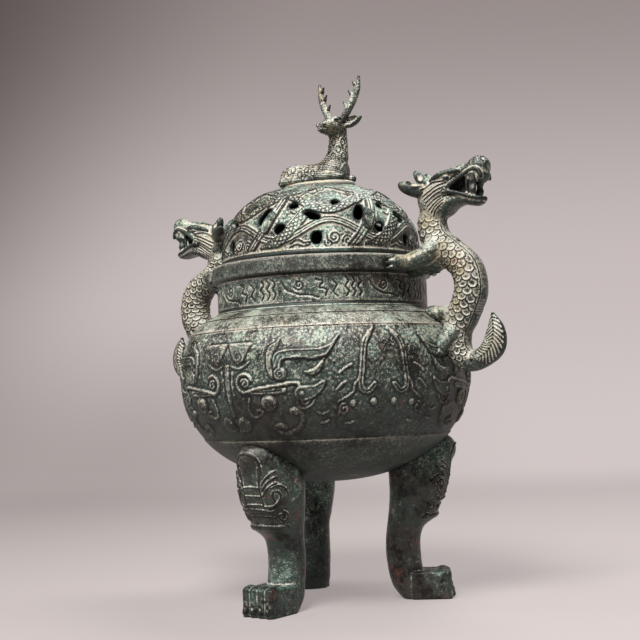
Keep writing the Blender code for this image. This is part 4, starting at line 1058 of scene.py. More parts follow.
def dragon_mane(field):
    """Locks that sweep back from behind the mouth, and the folds of cheek and brow."""
    low, high = (78, -14, 250), (120, 14, 284)
    cut, (x, y, z) = field.window(low, high)
    plan_x, plan_z = np.broadcast_arrays(x[:, 0, :], z[:, 0, :])
    carving = Carving(plan_x, plan_z)
    for lock in range(MANE_LOCKS):
        share = lock / (MANE_LOCKS - 1)
        start = (106.0 - 3.0 * share, 272.6 - 12.6 * share)
        middle = (99.0 - 1.5 * share, 270.4 - 14.2 * share)
        end = (88.6 + 6.6 * share, 265.4 - 13.0 * share)
        carving.line([start, middle, end], 1.1, 0.8)
    carving.line([(89.0, 270.0), (97.0, 273.6), (105.0, 273.6)], 1.4, 0.9)
    sides = ease((np.abs(y) - 3.0) / 2.0)
    near = np.abs(field.distance[cut]) < Field.SKIN_REACH
    field.distance[cut] -= carving.height[:, None, :] * sides * near


def dragon_foreleg(field, hand):
    """A foreleg whose three toes grip the collar."""
    wrist = (79.6, 16.6, 222.8, 5.0)
    side_bar(field, [(95, 5, 233, 6.2), (87.4, 11.6, 226.2, 5.4), wrist], hand, 2.0)
    field.rod(mirrored([wrist, (74.4, 24.6, 222.6, 4.6)], hand), 1.0)
    for toe, drop in enumerate((3.4, 0.0, -3.4)):
        tip = 27.8 - 0.8 * abs(toe - 1)
        claw = [(75.6, 21.0, 222.8 - drop, 2.2), (74.0, tip, 222.6 - drop, 2.1),
                (71.6, tip + 3.4, 222.2 - drop, 1.0)]
        field.rod(mirrored(claw, hand), 0.5)


def dragon_hind_leg(field, hand):
    """A folded hind leg with three toes on the belly."""
    ankle = (99.0, 12.6, 166.0)
    side_bar(field, [(105, 5, 178, 6.0), (101.6, 9.4, 172.0, 5.0), (*ankle, 3.6)], hand, 1.2)
    for spread in (-1, 0, 1):
        toe = [(*ankle, 2.4), (98.2, 14.6 + 1.6 * spread, 161.6 + abs(spread), 1.5)]
        field.rod(mirrored(toe, hand), 0.5)


def dragon_limbs(field):
    """Breast, the stub on the shoulder, and the legs."""
    field.rod([(102, 0, 229, 8.4), (89, 0, 224.4, 7.9), (74, 0, 221.4, 7.2)], 3.0)
    field.rod([(108, 0, 189.5, 5.2), (92, 0, 189.4, 4.6)], 2.5)
    field.ball((87.4, 0.0, 188.6), (6.2, 6.4, 6.4), 1.0)
    for hand in (1, -1):
        dragon_foreleg(field, hand)
        dragon_hind_leg(field, hand)


def mouth_shade(x, y, z):
    """Painted shade inside the open mouth, where the jaws keep the light out."""
    depth = ease((5.6 - np.abs(y)) / 1.0) * ease((x - 102.5) / 2.0) * ease((121.5 - x) / 1.5)
    return depth * (z > 261.5) * (z < 278.6)


def make_handles(material):
    """Two dragons from one form; the left one holds its head lower."""
    field = Field(*DRAGON_BOX, DRAGON_STEP)
    dragon_body(field)
    dragon_head(field)
    dragon_limbs(field)
    dragon_mane(field)
    cast_skin(field, 0.10)
    seat_on_bowl(field)
    points, quads = field.skin()
    # Painted shade inside the mouth
    shade_and_darkening = mouth_shade(*points.T)
    for side, way in HANDLE_SIDES.items():
        placed = points.copy()
        placed[:, 2] -= HEAD_DROPS[side] * np.clip((placed[:, 2] - RIM_Z) / NECK_EASE, 0.0, 1.0)
        placed[:, :2] *= way
        place(f"dragon_{side}", placed, quads, material, "vessel", "handle_bronze", (f"handle_{side}",), shade_and_darkening)


# Legs


LEG_TURNS = {"front": -93.0, "back_right": 30.0, "back_left": 140.0}
LEG_ROWS = (
    # height, inner and outer distance from the vessel's axis, half-width
    (113.0, 59.0, 75.0, 8.0),
    (107.0, 49.0, 83.5, 14.0),
    (100.0, 43.0, 85.5, 18.0),
    (91.0, 41.0, 84.0, 20.0),
    (80.0, 41.0, 82.0, 20.5),
    (70.0, 41.0, 79.0, 19.5),
    (61.0, 40.2, 75.0, 17.2),
    (54.0, 39.4, 71.5, 15.2),
    (50.0, 38.7, 66.0, 13.4),
    (46.0, 38.0, 62.5, 12.2),
    (38.0, 37.2, 60.8, 11.8),
    (28.0, 37.2, 60.8, 11.8),
    (18.0, 38.4, 62.0, 11.8),
    (9.0, 40.7, 62.0, 11.8),
    (2.7, 44.9, 62.0, 11.2),
    (-2.0, 49.0, 60.8, 10.0),
)
THIGH_ROUND = 20.0
LEG_BOX = (35, -24, -2), (92, 24, 115)
LEG_STEP = 0.5
TOES = 4
TOE_PITCH = 6.2
TOE_X = 67.0
TOE_Z = 8.0
TOE_HALF = (11.2, 0.9, 8.2)
TOE_SOFTEN = 2.45


def leg_face(field):
    """Ornament of the beast's face on the thigh: barred snout, fans of hair, curls and stepped lips."""
    near, points = field.near_skin()
    x, y, z = points.T
    inner, outer, _ = read_rows(LEG_ROWS, z)
    turn = np.arctan2(y, x - (inner + outer) / 2)
    carving = Carving(np.abs(turn) * THIGH_ROUND, z)
    for level in (82.0, 76.4, 70.8):
        carving.line([(-2.0, level), (3.0, level), (6.6, level - 0.4)], 1.2, 0.9)
    carving.line([(7.0, 94.0), (6.4, 84.0), (6.8, 76.0), (7.6, 69.4)], 1.3, 1.0)
    carving.line([(-2.0, 103.8), (4.6, 102.6), (7.6, 98.4), (8.0, 92.6), (6.8, 87.0)], 1.8, 1.0)
    for rise in (0.0, 3.6, 7.2):
        hair = [(8.0, 76.6 + rise), (10.6, 80.4 + rise), (13.8, 83.4 + rise), (16.8, 85.0 + rise)]
        carving.line(hair, 1.3, 0.9)
    carving.line([(13.4, 81.6), (17.6, 83.2), (21.4, 81.8), (23.6, 78.6)], 1.4, 1.0)
    curl = [(7.6, 69.6), (12.4, 69.6), (16.6, 72.0), (18.8, 76.0), (17.6, 79.2), (14.8, 79.4), (14.0, 76.6),
            (14.8, 73.6)]
    carving.line(curl, 1.5, 1.2)
    carving.line(spiral((18.6, 63.0), 3.8, -1.25, 70, 0.3), 1.6, 1.2, 2)
    carving.line([(-2.0, 67.6), (6.0, 67.0), (12.0, 66.2), (15.0, 67.6)], 2.0, 1.3)
    carving.line([(-2.0, 64.6), (7.0, 64.0), (13.0, 63.0)], 1.6, -1.3)
    carving.line([(-2.0, 58.6), (8.0, 58.4), (16.0, 58.2), (22.0, 59.4)], 1.6, -1.4)
    carving.line([(-2.0, 55.6), (8.0, 55.4), (16.0, 55.2), (21.0, 55.8)], 4.0, 1.5)
    carving.boss((10.0, 60.8), 2.0, 0.9)
    field.distance[near] -= carving.height


def leg_foot(field):
    """A blocky foot of four toes side by side, with knuckles and claws."""
    for index in range(TOES):
        y = (index - (TOES - 1) / 2) * TOE_PITCH

        def toe(x, across, z):
            out = np.maximum(np.abs(x - TOE_X) - TOE_HALF[0], 0.0)
            side = np.maximum(np.abs(across - y) - TOE_HALF[1], 0.0)
            tall = np.maximum(np.abs(z - TOE_Z) - TOE_HALF[2], 0.0)
            return np.sqrt(out**2 + side**2 + tall**2) - TOE_SOFTEN

        field.add(toe, (50, y - 6, -3), (85, y + 6, 24), 0.5)
        field.ball((75.2, y, 16.4), (4.6, 3.3, 3.4), 0.8)
        field.rod([(80.2, y, 8.0, 1.6), (81.0, y, 3.2, 2.0)], 0.8)
        field.hollow((82.4, y, 6.4), (1.0, 2.0, 1.2), (79, y - 4, 3), (85, y + 4, 10), 0.3)


def make_legs(material):
    """Three beast legs from one form, turned to their places."""
    field = Field(*LEG_BOX, LEG_STEP)
    field.add(upright_form(LEG_ROWS))
    field.ball((79.5, 0.0, 100.0), (8.2, 8.4, 9.6), 2.5)
    leg_face(field)
    leg_foot(field)
    cast_skin(field, 0.12, 2.6, 41)
    seat_on_bowl(field)
    field.cut(lambda x, y, z: z + 0 * x)
    points, quads = field.skin()
    for corner, turn in LEG_TURNS.items():
        placed = turned(points, turn)
        place(f"beast_leg_{corner}", placed, quads, material, "vessel", "leg_bronze", (f"leg_{corner}",))


# Lid


LID_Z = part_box("lid")[0].z / MM
LID_RADIUS = 68.0
LID_RISE = 53.0
LID_FULLNESS = 2.3
LID_WALL = 3.2
LID_FACES = 190000
LID_STEP = 0.62
FLANGE_SOFTEN = 1.1
LID_GROUND = 0.22
LID_SINK = 0.35
PIERCING_POWER = 2.4
PIERCING_DEPTH = 7.0
PIERCING_REACH = 11.0
PIERCING_SOFTEN = 0.7
FLANGE_RADIUS = 69.5
FLANGE_INNER = 60.25
FLANGE_THICKNESS = 3.5
DOME_Z = LID_Z + FLANGE_THICKNESS
CROWN_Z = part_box("lid")[1].z / MM
SECTOR = 60.0
SECTOR_START = -91.0
PIERCINGS = (
    # turn in degrees, share of the dome's rise, length, width, tilt
    (0.0, 0.47, 13.0, 6.4, 62.0),
    (12.0, 0.28, 7.6, 6.2, 20.0),
    (19.0, 0.58, 6.4, 4.8, 0.0),
    (31.0, 0.43, 12.0, 5.2, -28.0),
    (33.5, 0.14, 8.4, 6.6, 80.0),
    (46.0, 0.60, 5.8, 5.0, 45.0),
)


def dome_distance(radius, z, inset=0.0):
    """Distance from the dome's face, or from a face a little inside it."""
    wide, tall = LID_RADIUS - inset, LID_RISE - inset
    rise = np.maximum(z - DOME_Z, 0.0)
    reach = np.maximum((radius / wide) ** LID_FULLNESS + (rise / tall) ** LID_FULLNESS, 1e-6)
    across = (radius / wide) ** (LID_FULLNESS - 1) / wide
    up = (rise / tall) ** (LID_FULLNESS - 1) / tall
    steep = np.maximum(np.hypot(across, up) * reach ** (1 / LID_FULLNESS - 1), 1e-6)
    return (reach ** (1 / LID_FULLNESS) - 1) / steep


def lid_shell(x, y, z):
    """The hollow dome on its flange, before piercing."""
    radius = np.hypot(x, y)
    outer = np.maximum(dome_distance(radius, z), z - CROWN_Z)
    inner = np.maximum(dome_distance(radius, z, LID_WALL), z - CROWN_Z + LID_WALL)
    dome = np.maximum(np.maximum(outer, -inner), LID_Z + 0.5 - z)
    middle, half = (FLANGE_RADIUS + FLANGE_INNER) / 2, (FLANGE_RADIUS - FLANGE_INNER) / 2 - FLANGE_SOFTEN
    out = np.maximum(np.abs(radius - middle) - half, 0.0)
    up = np.maximum(np.abs(z - LID_Z - FLANGE_THICKNESS / 2) - FLANGE_THICKNESS / 2 + FLANGE_SOFTEN, 0.0)
    return soft_min(dome, np.hypot(out, up) - FLANGE_SOFTEN, 1.2)


DOME_TURNS = np.linspace(0.0, math.pi / 2, 200)
DOME_RADII = LID_RADIUS * np.cos(DOME_TURNS) ** (2 / LID_FULLNESS)
DOME_HEIGHTS = DOME_Z + LID_RISE * np.sin(DOME_TURNS) ** (2 / LID_FULLNESS)
DOME_LENGTHS = np.concatenate([[0.0], np.cumsum(np.hypot(np.diff(DOME_RADII), np.diff(DOME_HEIGHTS)))])


def on_dome(turn, z):
    """Map place of a sector's turn in degrees and a height on the dome."""
    radius = np.interp(z, DOME_HEIGHTS, DOME_RADII)
    return math.radians(turn - SECTOR / 2) * radius, np.interp(z, DOME_HEIGHTS, DOME_LENGTHS)


def dome_map(x, y, z):
    """Distance round the dome from a sector's middle, and length up the dome."""
    radius = np.hypot(x, y)
    aim = np.arctan2(np.maximum(z - DOME_Z, 0.0) / LID_RISE, radius / LID_RADIUS)
    curve = np.arctan2(DOME_HEIGHTS - DOME_Z, DOME_RADII * LID_RISE / LID_RADIUS)
    face_radius, up = np.interp(aim, curve, DOME_RADII), np.interp(aim, curve, DOME_LENGTHS)
    turn = (np.degrees(np.arctan2(y, x)) - SECTOR_START) % SECTOR
    return np.radians(turn - SECTOR / 2) * face_radius, up


class Ribbons(Carving):
    """Carving with bands that follow a curve."""

    def follow(self, points, width):
        """Where a band lies, with lengths along and across it."""
        points = smooth_rows(points, 6)
        where = self.near(points, width)
        u, v = self.u[where], self.v[where]
        best, along, across, run = np.full(u.shape, 1e3), np.zeros(u.shape), np.zeros(u.shape), 0.0
        for start, end in zip(points, points[1:]):
            du, dv = end - start
            length = max(math.hypot(du, dv), 1e-6)
            share = np.clip(((u - start[0]) * du + (v - start[1]) * dv) / length**2, 0.0, 1.0)
            away = np.hypot(u - start[0] - share * du, v - start[1] - share * dv)
            closer = away < best
            side = np.sign(du * (v - start[1]) - dv * (u - start[0]))
            best = np.where(closer, away, best)
            along = np.where(closer, run + share * length, along)
            across = np.where(closer, side * away, across)
            run += length
        return where, along, across

    def band(self, points, width, height, pattern, edge=0.6):
        """A raised band with a bead along both edges and a pattern between them."""
        where, along, across = self.follow(points, width)
        off = np.abs(across)
        inside = ease((width / 2 - off) / 0.5)
        bead = edge * np.exp(-(((off - width / 2 + 0.8) / 0.5) ** 2))
        fill = pattern(along, across) * ease((width / 2 - 1.3 - off) / 0.4)
        self.raise_to(where, inside * (height + bead + fill))


def bars(pitch, height, slant=0.0):
    return lambda along, across: height * (0.5 + 0.5 * np.cos(2 * math.pi * (along + slant * across) / pitch))


def scaled(height):
    return lambda along, across: height * scale_net(along, across, 2.3, 2.9)


def grooves(pitch, height):
    return lambda along, across: height * np.cos(2 * math.pi * across / pitch)


DOME_WISPS = (
    # turn in degrees and height of each wisp's points
    ((18.0, 258.6), (21.0, 257.0), (23.6, 259.0), (26.4, 260.8)),
    ((19.0, 237.2), (23.0, 239.6), (26.6, 237.2), (30.0, 237.6)),
    ((18.6, 234.6), (22.4, 236.4), (26.0, 235.0), (29.4, 236.0)),
    ((49.0, 249.4), (53.0, 247.0), (56.6, 243.0), (60.0, 239.6)),
    ((22.6, 270.4), (26.6, 272.6), (31.0, 271.4), (35.0, 273.6)),
)
DOME_SPIRALS = (
    # turn in degrees, height, radius, number of windings
    (43.0, 240.4, 4.6, 1.6),
    (50.6, 238.2, 3.4, -1.4),
    (40.0, 236.6, 2.8, 1.2),
    (53.0, 263.0, 3.6, 1.5),
    (36.0, 275.0, 3.4, -1.4),
    (58.0, 272.0, 3.4, 1.4),
    (24.0, 265.0, 3.0, 1.3),
)


def draw_dome(carving):
    """One sector's scaled ribbons, straps and scrolls, drawn with its neighbours' ends."""
    for shift in (-SECTOR, 0.0, SECTOR):
        turns = np.arange(-30.0, 31.0, 6.0)
        swing = np.cos(np.radians(turns * 6.0))

        def curve(*places):
            return [on_dome(turn + shift, z) for turn, z in places]

        carving.band(curve(*zip(turns + 41.0, 264.5 - 5.5 * swing)), 7.4, 0.9, scaled(0.6))
        carving.band(curve(*zip(turns + 41.0, 245.5 + 6.5 * swing)), 5.4, 0.8, grooves(1.7, 0.3))
        carving.band(curve(*zip(turns + 11.0, 274.6 - 2.6 * swing)), 5.6, 0.8, scaled(0.5))
        strap = curve((-7.0, 234.6), (-1.0, 243.0), (5.0, 253.0), (9.0, 262.0), (11.5, 269.5))
        carving.band(strap, 7.0, 1.1, grooves(1.9, 0.35))
        carving.band(curve((3.0, 248.5), (4.6, 252.5), (6.2, 256.5)), 8.2, 1.6, bars(9.0, 0.2), 0.4)
        ribbon = curve((7.0, 236.2), (13.0, 240.0), (19.0, 246.0), (24.0, 252.6), (28.0, 259.0))
        carving.band(ribbon, 8.2, 1.0, scaled(0.7))
        carving.band(curve((2.0, 235.6), (7.0, 236.8), (11.5, 239.2)), 4.6, 0.9, bars(1.5, 0.5, 0.6))
        for wisp in DOME_WISPS:
            carving.line(curve(*wisp), 1.5, 0.9)
        for turn, z, radius, spin in DOME_SPIRALS:
            carving.line(spiral(on_dome(turn + shift, z), radius, spin, 40.0 + 3.0 * turn), 1.2, 0.9, 2)


def lid_relief(field):
    """Raises the ornament on the dome's outer face over a finely grained ground."""
    cells, points = field.near_skin(2.6)
    x, y, z = points.T
    outside = (dome_distance(np.hypot(x, y), z) > -LID_WALL / 2) & (z > DOME_Z + 1.0)
    cells, points = tuple(way[outside] for way in cells), points[outside]
    carving = Ribbons(*dome_map(*points.T))
    draw_dome(carving)
    fade = ease((points[:, 2] - DOME_Z - 1.0) / 2.0) * ease((CROWN_Z - 1.0 - points[:, 2]) / 4.0)
    ground = LID_GROUND * grain(points, STIPPLE_SIZE, 51) * np.exp(-carving.height)
    field.distance[cells] -= ((carving.height - LID_SINK) * fade + ground).astype(np.float32)


def pierce_lid(field):
    """Cuts the piercings square to the dome, with rounded edges."""
    for sector in range(int(360 / SECTOR)):
        for turn, share, length, width, tilt in PIERCINGS:
            rise = math.asin(share ** (LID_FULLNESS / 2))
            radius, z = (np.interp(rise, DOME_TURNS, table) for table in (DOME_RADII, DOME_HEIGHTS))
            slope = [np.interp(rise + 0.03, DOME_TURNS, table) - np.interp(rise - 0.03, DOME_TURNS, table)
                     for table in (DOME_RADII, DOME_HEIGHTS)]
            angle = math.radians(SECTOR_START + sector * SECTOR + turn)
            out = np.array([math.cos(angle), math.sin(angle), 0.0])
            around = np.array([-out[1], out[0], 0.0])
            rising = (out * slope[0] + np.array([0.0, 0.0, slope[1]])) / math.hypot(*slope)
            outward = np.cross(around, rising)
            lean = math.radians(tilt)
            long_way = around * math.cos(lean) + rising * math.sin(lean)
            short_way = np.cross(outward, long_way)
            centre = out * radius + np.array([0.0, 0.0, z])

            def slot(x, y, z):
                x, y, z = x - centre[0], y - centre[1], z - centre[2]
                far, near = (x * way[0] + y * way[1] + z * way[2] for way in (long_way, short_way))
                deep = x * outward[0] + y * outward[1] + z * outward[2]
                oval = section_distance(far, near, length / 2, width / 2, PIERCING_POWER)
                return np.maximum(oval, np.abs(deep) - PIERCING_DEPTH)

            field.cut(slot, centre - PIERCING_REACH, centre + PIERCING_REACH, PIERCING_SOFTEN)


def make_lid(material):
    """The pierced dome with its flange, with painted shade inside."""
    field = Field((-72, -72, LID_Z - 1.5), (72, 72, CROWN_Z + 2.0), LID_STEP)
    field.add(lid_shell)
    lid_relief(field)
    pierce_lid(field)
    points, quads = field.skin()
    # Painted shade on the dome's inner face and deep in its piercings
    depth = -dome_distance(np.hypot(points[:, 0], points[:, 1]), points[:, 2])
    shade_and_darkening = ease((depth - 1.2) / 1.2) * (points[:, 2] > DOME_Z)
    dome = place("pierced_lid", points, quads, material, "lid", "lid_bronze", ("lid",), shade_and_darkening)
    dome.modifiers.new("fewer_faces", "DECIMATE").ratio = LID_FACES / (2 * len(quads))


RING_COLUMNS = 240
RING_WALL = 3.5
RING_TAPER = 0.9


def make_lid_ring(material):
    """The ring under the lid that drops into the mouth, with softened lower edges."""
    low, top = (corner.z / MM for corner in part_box("lid_locating_ring"))
    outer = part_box("lid_locating_ring")[1].x / MM
    inner = outer - RING_WALL
    profile = [
        (inner, top),
        (inner, low + 1.0),
        (inner + 0.5, low + 0.2),
        (inner + 1.2, low),
        (outer - RING_TAPER, low),
        (outer - 0.3, low + 0.3),
        (outer, low + RING_TAPER),
        (outer, low + 4.0),
        (outer, top),
    ]
    points = turned_points(profile, RING_COLUMNS)
    points[..., :2] *= 1 + 0.001 * grain(points, 9.0, 61)[..., None]
    quads = grid_faces(len(profile), RING_COLUMNS, True)
    place("lid_ring", points.reshape(-1, 3), quads, material, "lid", "lid_bronze", ("lid_locating_ring",))


# Finial


STAG_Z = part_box("stag")[0].z / MM
STAG_TRUNK = (
    # along the body, underside and top above the plinth, half-width
    (-27.5, 3.0, 8.5, 3.0),
    (-24.5, -1.0, 13.0, 7.8),
    (-18.0, -1.0, 15.8, 11.2),
    (-8.0, -1.0, 15.2, 11.2),
    (2.0, -1.0, 14.8, 10.4),
    (12.0, -1.0, 16.5, 10.0),
    (19.0, -1.0, 15.5, 8.5),
    (23.8, 2.0, 11.0, 4.5),
)
STAG_NECK = (
    # height above the plinth, rear and front edge along the body, half-width
    (6.0, 1.0, 23.0, 9.2),
    (14.0, 6.2, 24.2, 8.0),
    (22.0, 10.6, 24.6, 6.6),
    (30.0, 12.1, 24.5, 6.0),
    (38.0, 12.4, 24.4, 5.8),
    (43.0, 13.6, 23.2, 4.6),
)
STAG_HEAD = (
    # forward of the poll, underside and top above the plinth, half-width
    (-3.5, 37.0, 43.0, 3.0),
    (0.0, 32.6, 45.8, 6.0),
    (5.0, 30.8, 45.6, 6.4),
    (10.0, 30.8, 43.6, 5.2),
    (15.0, 31.2, 41.2, 4.0),
    (19.5, 31.2, 39.2, 3.4),
    (22.8, 32.2, 37.0, 2.4),
)
STAG_HIND_LEG = (
    # along the body, out from its middle, height above the plinth, radius
    (-21.0, 12.5, 2.4, 3.4),
    (-12.0, 13.5, 2.2, 3.0),
    (-2.0, 12.8, 2.0, 2.3),
    (1.5, 12.4, 1.9, 2.6),
)
STAG_FORELEG = (
    (8.0, 10.5, 3.0, 3.4),
    (18.0, 10.2, 2.6, 3.0),
    (24.5, 7.0, 2.2, 2.4),
    (22.0, 5.0, 2.0, 2.4),
)
STAG_POLL = np.array([18.4, 1.0])
HEAD_TURN = math.radians(-92.0)
ANTLER_BEAM = (
    # out from the middle of the head, forward of the poll, height above the plinth, radius
    (4.8, 2.0, 42.5, 2.5),
    (9.5, 0.5, 50.0, 2.7),
    (13.4, -1.0, 57.5, 2.5),
    (15.8, -2.0, 64.5, 2.0),
    (16.8, -2.5, 71.5, 0.9),
)
ANTLER_STEP = 0.34
TINE_LENGTHS = (6.2, 6.8, 5.5)
TINE_RADII = (1.6, 1.3, 0.55)
TINE_LEAN = (0.15, -0.62, 0.77)
TINE_SAG = 0.4
STAG_STEP = 0.4
PLINTH_COLUMNS = 240


def head_frame(x, y):
    """Distances forward of the poll and to the side of it, along the turned head."""
    x, y = x - STAG_POLL[0], y - STAG_POLL[1]
    ahead, aside = math.cos(HEAD_TURN), math.sin(HEAD_TURN)
    return x * ahead + y * aside, y * ahead - x * aside


def on_head(forward, out, up):
    """A place told from the stag's poll."""
    return np.array([
        STAG_POLL[0] + forward * math.cos(HEAD_TURN) - out * math.sin(HEAD_TURN),
        STAG_POLL[1] + forward * math.sin(HEAD_TURN) + out * math.cos(HEAD_TURN),
        STAG_Z + up,
    ])


def head_rows(rows):
    """Rows of forward, out, up and radius on the head, as rows of x, y, z and radius."""
    return [(*on_head(forward, out, up), radius) for forward, out, up, radius in rows]


def stag_body(field):
    """Lying trunk with haunches and folded legs, and the upright neck."""
    field.add(long_form(raised_rows(STAG_TRUNK, STAG_Z)))
    neck = [(z + STAG_Z, rear, front, half) for z, rear, front, half in STAG_NECK]
    field.add(upright_form(neck, 2.0), blend=3.0)
    for hand in (1, -1):
        field.ball((-16.5, 8.5 * hand, STAG_Z + 6.5), (9.2, 4.5, 7.8), 1.2)
        field.ball((11.0, 7.6 * hand, STAG_Z + 7.0), (6.6, 3.6, 6.6), 1.2)
        for limb in (STAG_HIND_LEG, STAG_FORELEG):
            field.rod([(x, y * hand, z + STAG_Z, radius) for x, y, z, radius in limb], 0.7)
    field.rod([(-26.5, 0.0, STAG_Z + 9.0, 2.0), (-28.2, 0.0, STAG_Z + 5.6, 1.6)], 0.8)


def head_side(rows, hand):
    """Rows of forward, out, up and radius on one side of the head, as rows of x, y, z and radius."""
    return head_rows([(forward, out * hand, up, radius) for forward, out, up, radius in rows])


def stag_eye(field, hand):
    """Brow, eye and lids on one side."""
    field.rod(head_side([(3.0, 5.2, 42.4, 1.2), (7.6, 5.8, 42.6, 1.3), (11.0, 4.6, 41.4, 0.8)], hand), 0.6)
    forward, up = 6.6, 39.6
    field.ball(on_head(forward, 5.9 * hand, up), (1.1, 2.0, 1.3), 0.2)
    turns = np.linspace(0.0, 2 * math.pi, 13)
    lids = [(forward + 2.5 * math.cos(turn), 5.7, up + 1.9 * math.sin(turn), 0.5) for turn in turns]
    field.rod(head_side(lids, hand), 0.2)


def stag_head(field):
    """The turned head: muzzle, eyes, leaf-shaped ears and the slit of the mouth."""
    form = long_form(raised_rows(STAG_HEAD, STAG_Z), 2.0)

    def turned_head(x, y, z):
        forward, out = head_frame(x, y)
        return form(forward, out, z)

    field.add(turned_head, blend=2.5)
    for hand in (1, -1):
        stag_eye(field, hand)
        field.rod(head_side([(21.6, 2.4, 36.6, 1.1), (19.6, 3.0, 37.4, 0.8)], hand), 0.5)
        ear = [(0.0, 3.5, 40.0, 2.6), (-0.4, 9.5, 40.6, 3.6), (-0.8, 14.0, 41.8, 3.0),
               (-1.0, 18.2, 43.0, 0.9)]
        field.rod(smooth_rows(head_side(ear, hand), 3), 0.6)
        hollow = [(2.4, 7.0, 40.2, 1.7), (2.6, 11.0, 41.2, 2.5), (2.0, 15.4, 42.2, 1.4)]
        slit = [(23.4, 1.0, 34.4, 0.55), (19.0, 3.7, 34.0, 0.55), (13.0, 4.6, 33.8, 0.5)]
        for rows in (hollow, slit):
            groove_along(field, smooth_rows(head_side(rows, hand), 4))


def groove_along(field, rows):
    """Cuts a round groove along rows of x, y, z and radius."""
    margin = 6.0
    for start, end in zip(rows, rows[1:]):
        low, high = start[:3] - margin, start[:3] + margin
        field.cut(lambda x, y, z: rod_distance(x, y, z, start, end), low, high, 0.4)


NECK_ROUND = 6.4
TRUNK_ROUND = 11.0
HAIR_PITCH = 1.5
HAIR_HEIGHT = 0.07
NECK_OVALS = {
    "rows": 4,
    "columns": 6,
    "pitch": 6.7,
    "shift": 3.3,
    "first": 17.0,
    "rise": 5.0,
    "half": (1.5, 2.3),
    "lift": 0.42,
    "edge": 0.28,
}
TRUNK_OVALS = {
    "rows": 6,
    "columns": 7,
    "pitch": 5.6,
    "shift": 2.8,
    "first": -23.0,
    "rise": 5.2,
    "half": (1.8, 1.6),
    "lift": 0.36,
    "edge": 0.3,
}


def add_ovals(height, across, along, inside, rows, columns, pitch, shift, first, rise, half, lift, edge):
    """Adds the outlines of ovals in staggered rows to heights, where they lie inside."""
    for row in range(rows):
        for column in range(columns):
            middle = (column - (columns - 1) / 2) * pitch + (row % 2) * shift
            away = np.hypot((across - middle) / half[0], (along - (first + rise * row)) / half[1])
            height += lift * np.exp(-(((away - 1.0) / edge) ** 2)) * inside


def stag_coat(field):
    """Engraved ovals on neck and trunk, and short strokes of hair between them."""
    cells, points = field.near_skin(2.0)
    x, y, z = points.T
    up = z - STAG_Z
    height = np.zeros(x.shape)
    round_neck = np.arctan2(y, x - STAG_POLL[0]) * NECK_ROUND
    add_ovals(height, round_neck, up, (up > 15.0) & (up < 33.0), **NECK_OVALS)
    round_trunk = np.arctan2(y, up - 4.0) * TRUNK_ROUND
    add_ovals(height, round_trunk, x, (up < 16.5) & (x < 8.0), **TRUNK_OVALS)
    hair = np.cos(2 * math.pi * (up + 0.4 * round_neck) / HAIR_PITCH) * HAIR_HEIGHT
    field.distance[cells] -= (height + hair).astype(np.float32)


def make_stag(material):
    """The stag, cut flat to lie on its plinth."""
    field = Field((-32, -26, STAG_Z - 1.5), (42, 24, STAG_Z + 50.0), STAG_STEP)
    stag_body(field)
    stag_head(field)
    stag_coat(field)
    cast_skin(field, 0.08, 1.6, 71)
    field.cut(lambda x, y, z: z - STAG_Z + 0.3 + 0 * x)
    place("lying_stag", *field.skin(), material, "lid", "finial_bronze", ("stag",))


def make_antlers(material):
    """Two antlers with three tines each, rough as antler is."""
    for name, hand in (("right", 1), ("left", -1)):
        beam = head_side([(forward, out, up, radius) for out, forward, up, radius in ANTLER_BEAM], hand)
        low = np.min(np.array(beam)[:, :3], 0) - 12.0
        high = np.max(np.array(beam)[:, :3], 0) + 12.0
        field = Field(low, high, ANTLER_STEP)
        field.rod(smooth_rows(beam, 4))
        lean = on_head(TINE_LEAN[0], TINE_LEAN[1] * hand, TINE_LEAN[2]) - on_head(0.0, 0.0, 0.0)
        for root, length in zip(beam[1:], TINE_LENGTHS):
            root = np.array(root[:3])
            tip = root + lean * length
            middle = (root + tip) / 2 - np.array([0.0, 0.0, TINE_SAG])
            tine = [(*spot, radius) for spot, radius in zip((root, middle, tip), TINE_RADII)]
            field.rod(tine, 0.8)
        cast_skin(field, 0.14, 1.3, 81)
        place(f"stag_antler_{name}", *field.skin(), material, "lid", "finial_bronze", (f"antler_{name}",))


def make_plinth(material):
    """The oval plate under the stag, with softened edges."""
    low, high = (np.array(corner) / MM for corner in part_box("finial_plinth"))
    edge = [(0.0, 1.0), (0.3, 0.4), (0.9, 0.0), (1.5, 0.0), (2.1, 0.0), (2.7, 0.4), (3.0, 1.0)]
    bottom, top = edge[0], edge[-1]
    rows = [(*bottom, 0.0)] + [(rise, cut, 1.0) for rise, cut in edge]
    rows += [(*top, share) for share in (0.8, 0.4, 0.0)]
    angle = round_angles(PLINTH_COLUMNS)
    points = []
    for rise, cut, share in rows:
        x, y = share * (high[0] - cut) * np.cos(angle), share * (high[1] - cut) * np.sin(angle)
        points.append(np.stack([x, y, low[2] + rise + 0 * angle], -1))
    points = np.stack(points)
    points[..., 2] += 0.12 * grain(points, 5.0, 91)
    quads = grid_faces(len(rows), PLINTH_COLUMNS)
    place("oval_plinth", points.reshape(-1, 3), quads, material, "lid", "finial_bronze", ("finial_plinth",))


# Stage


CAMERA_TURN = 34.41
CAMERA_AWAY = 824.69
CAMERA_HEIGHT = 135.06
CAMERA_YAW = -0.16
CAMERA_PITCH = 3.92
CAMERA_ROLL = -2.16
CAMERA_LENS = 66.85
CAMERA_SENSOR = 36.0


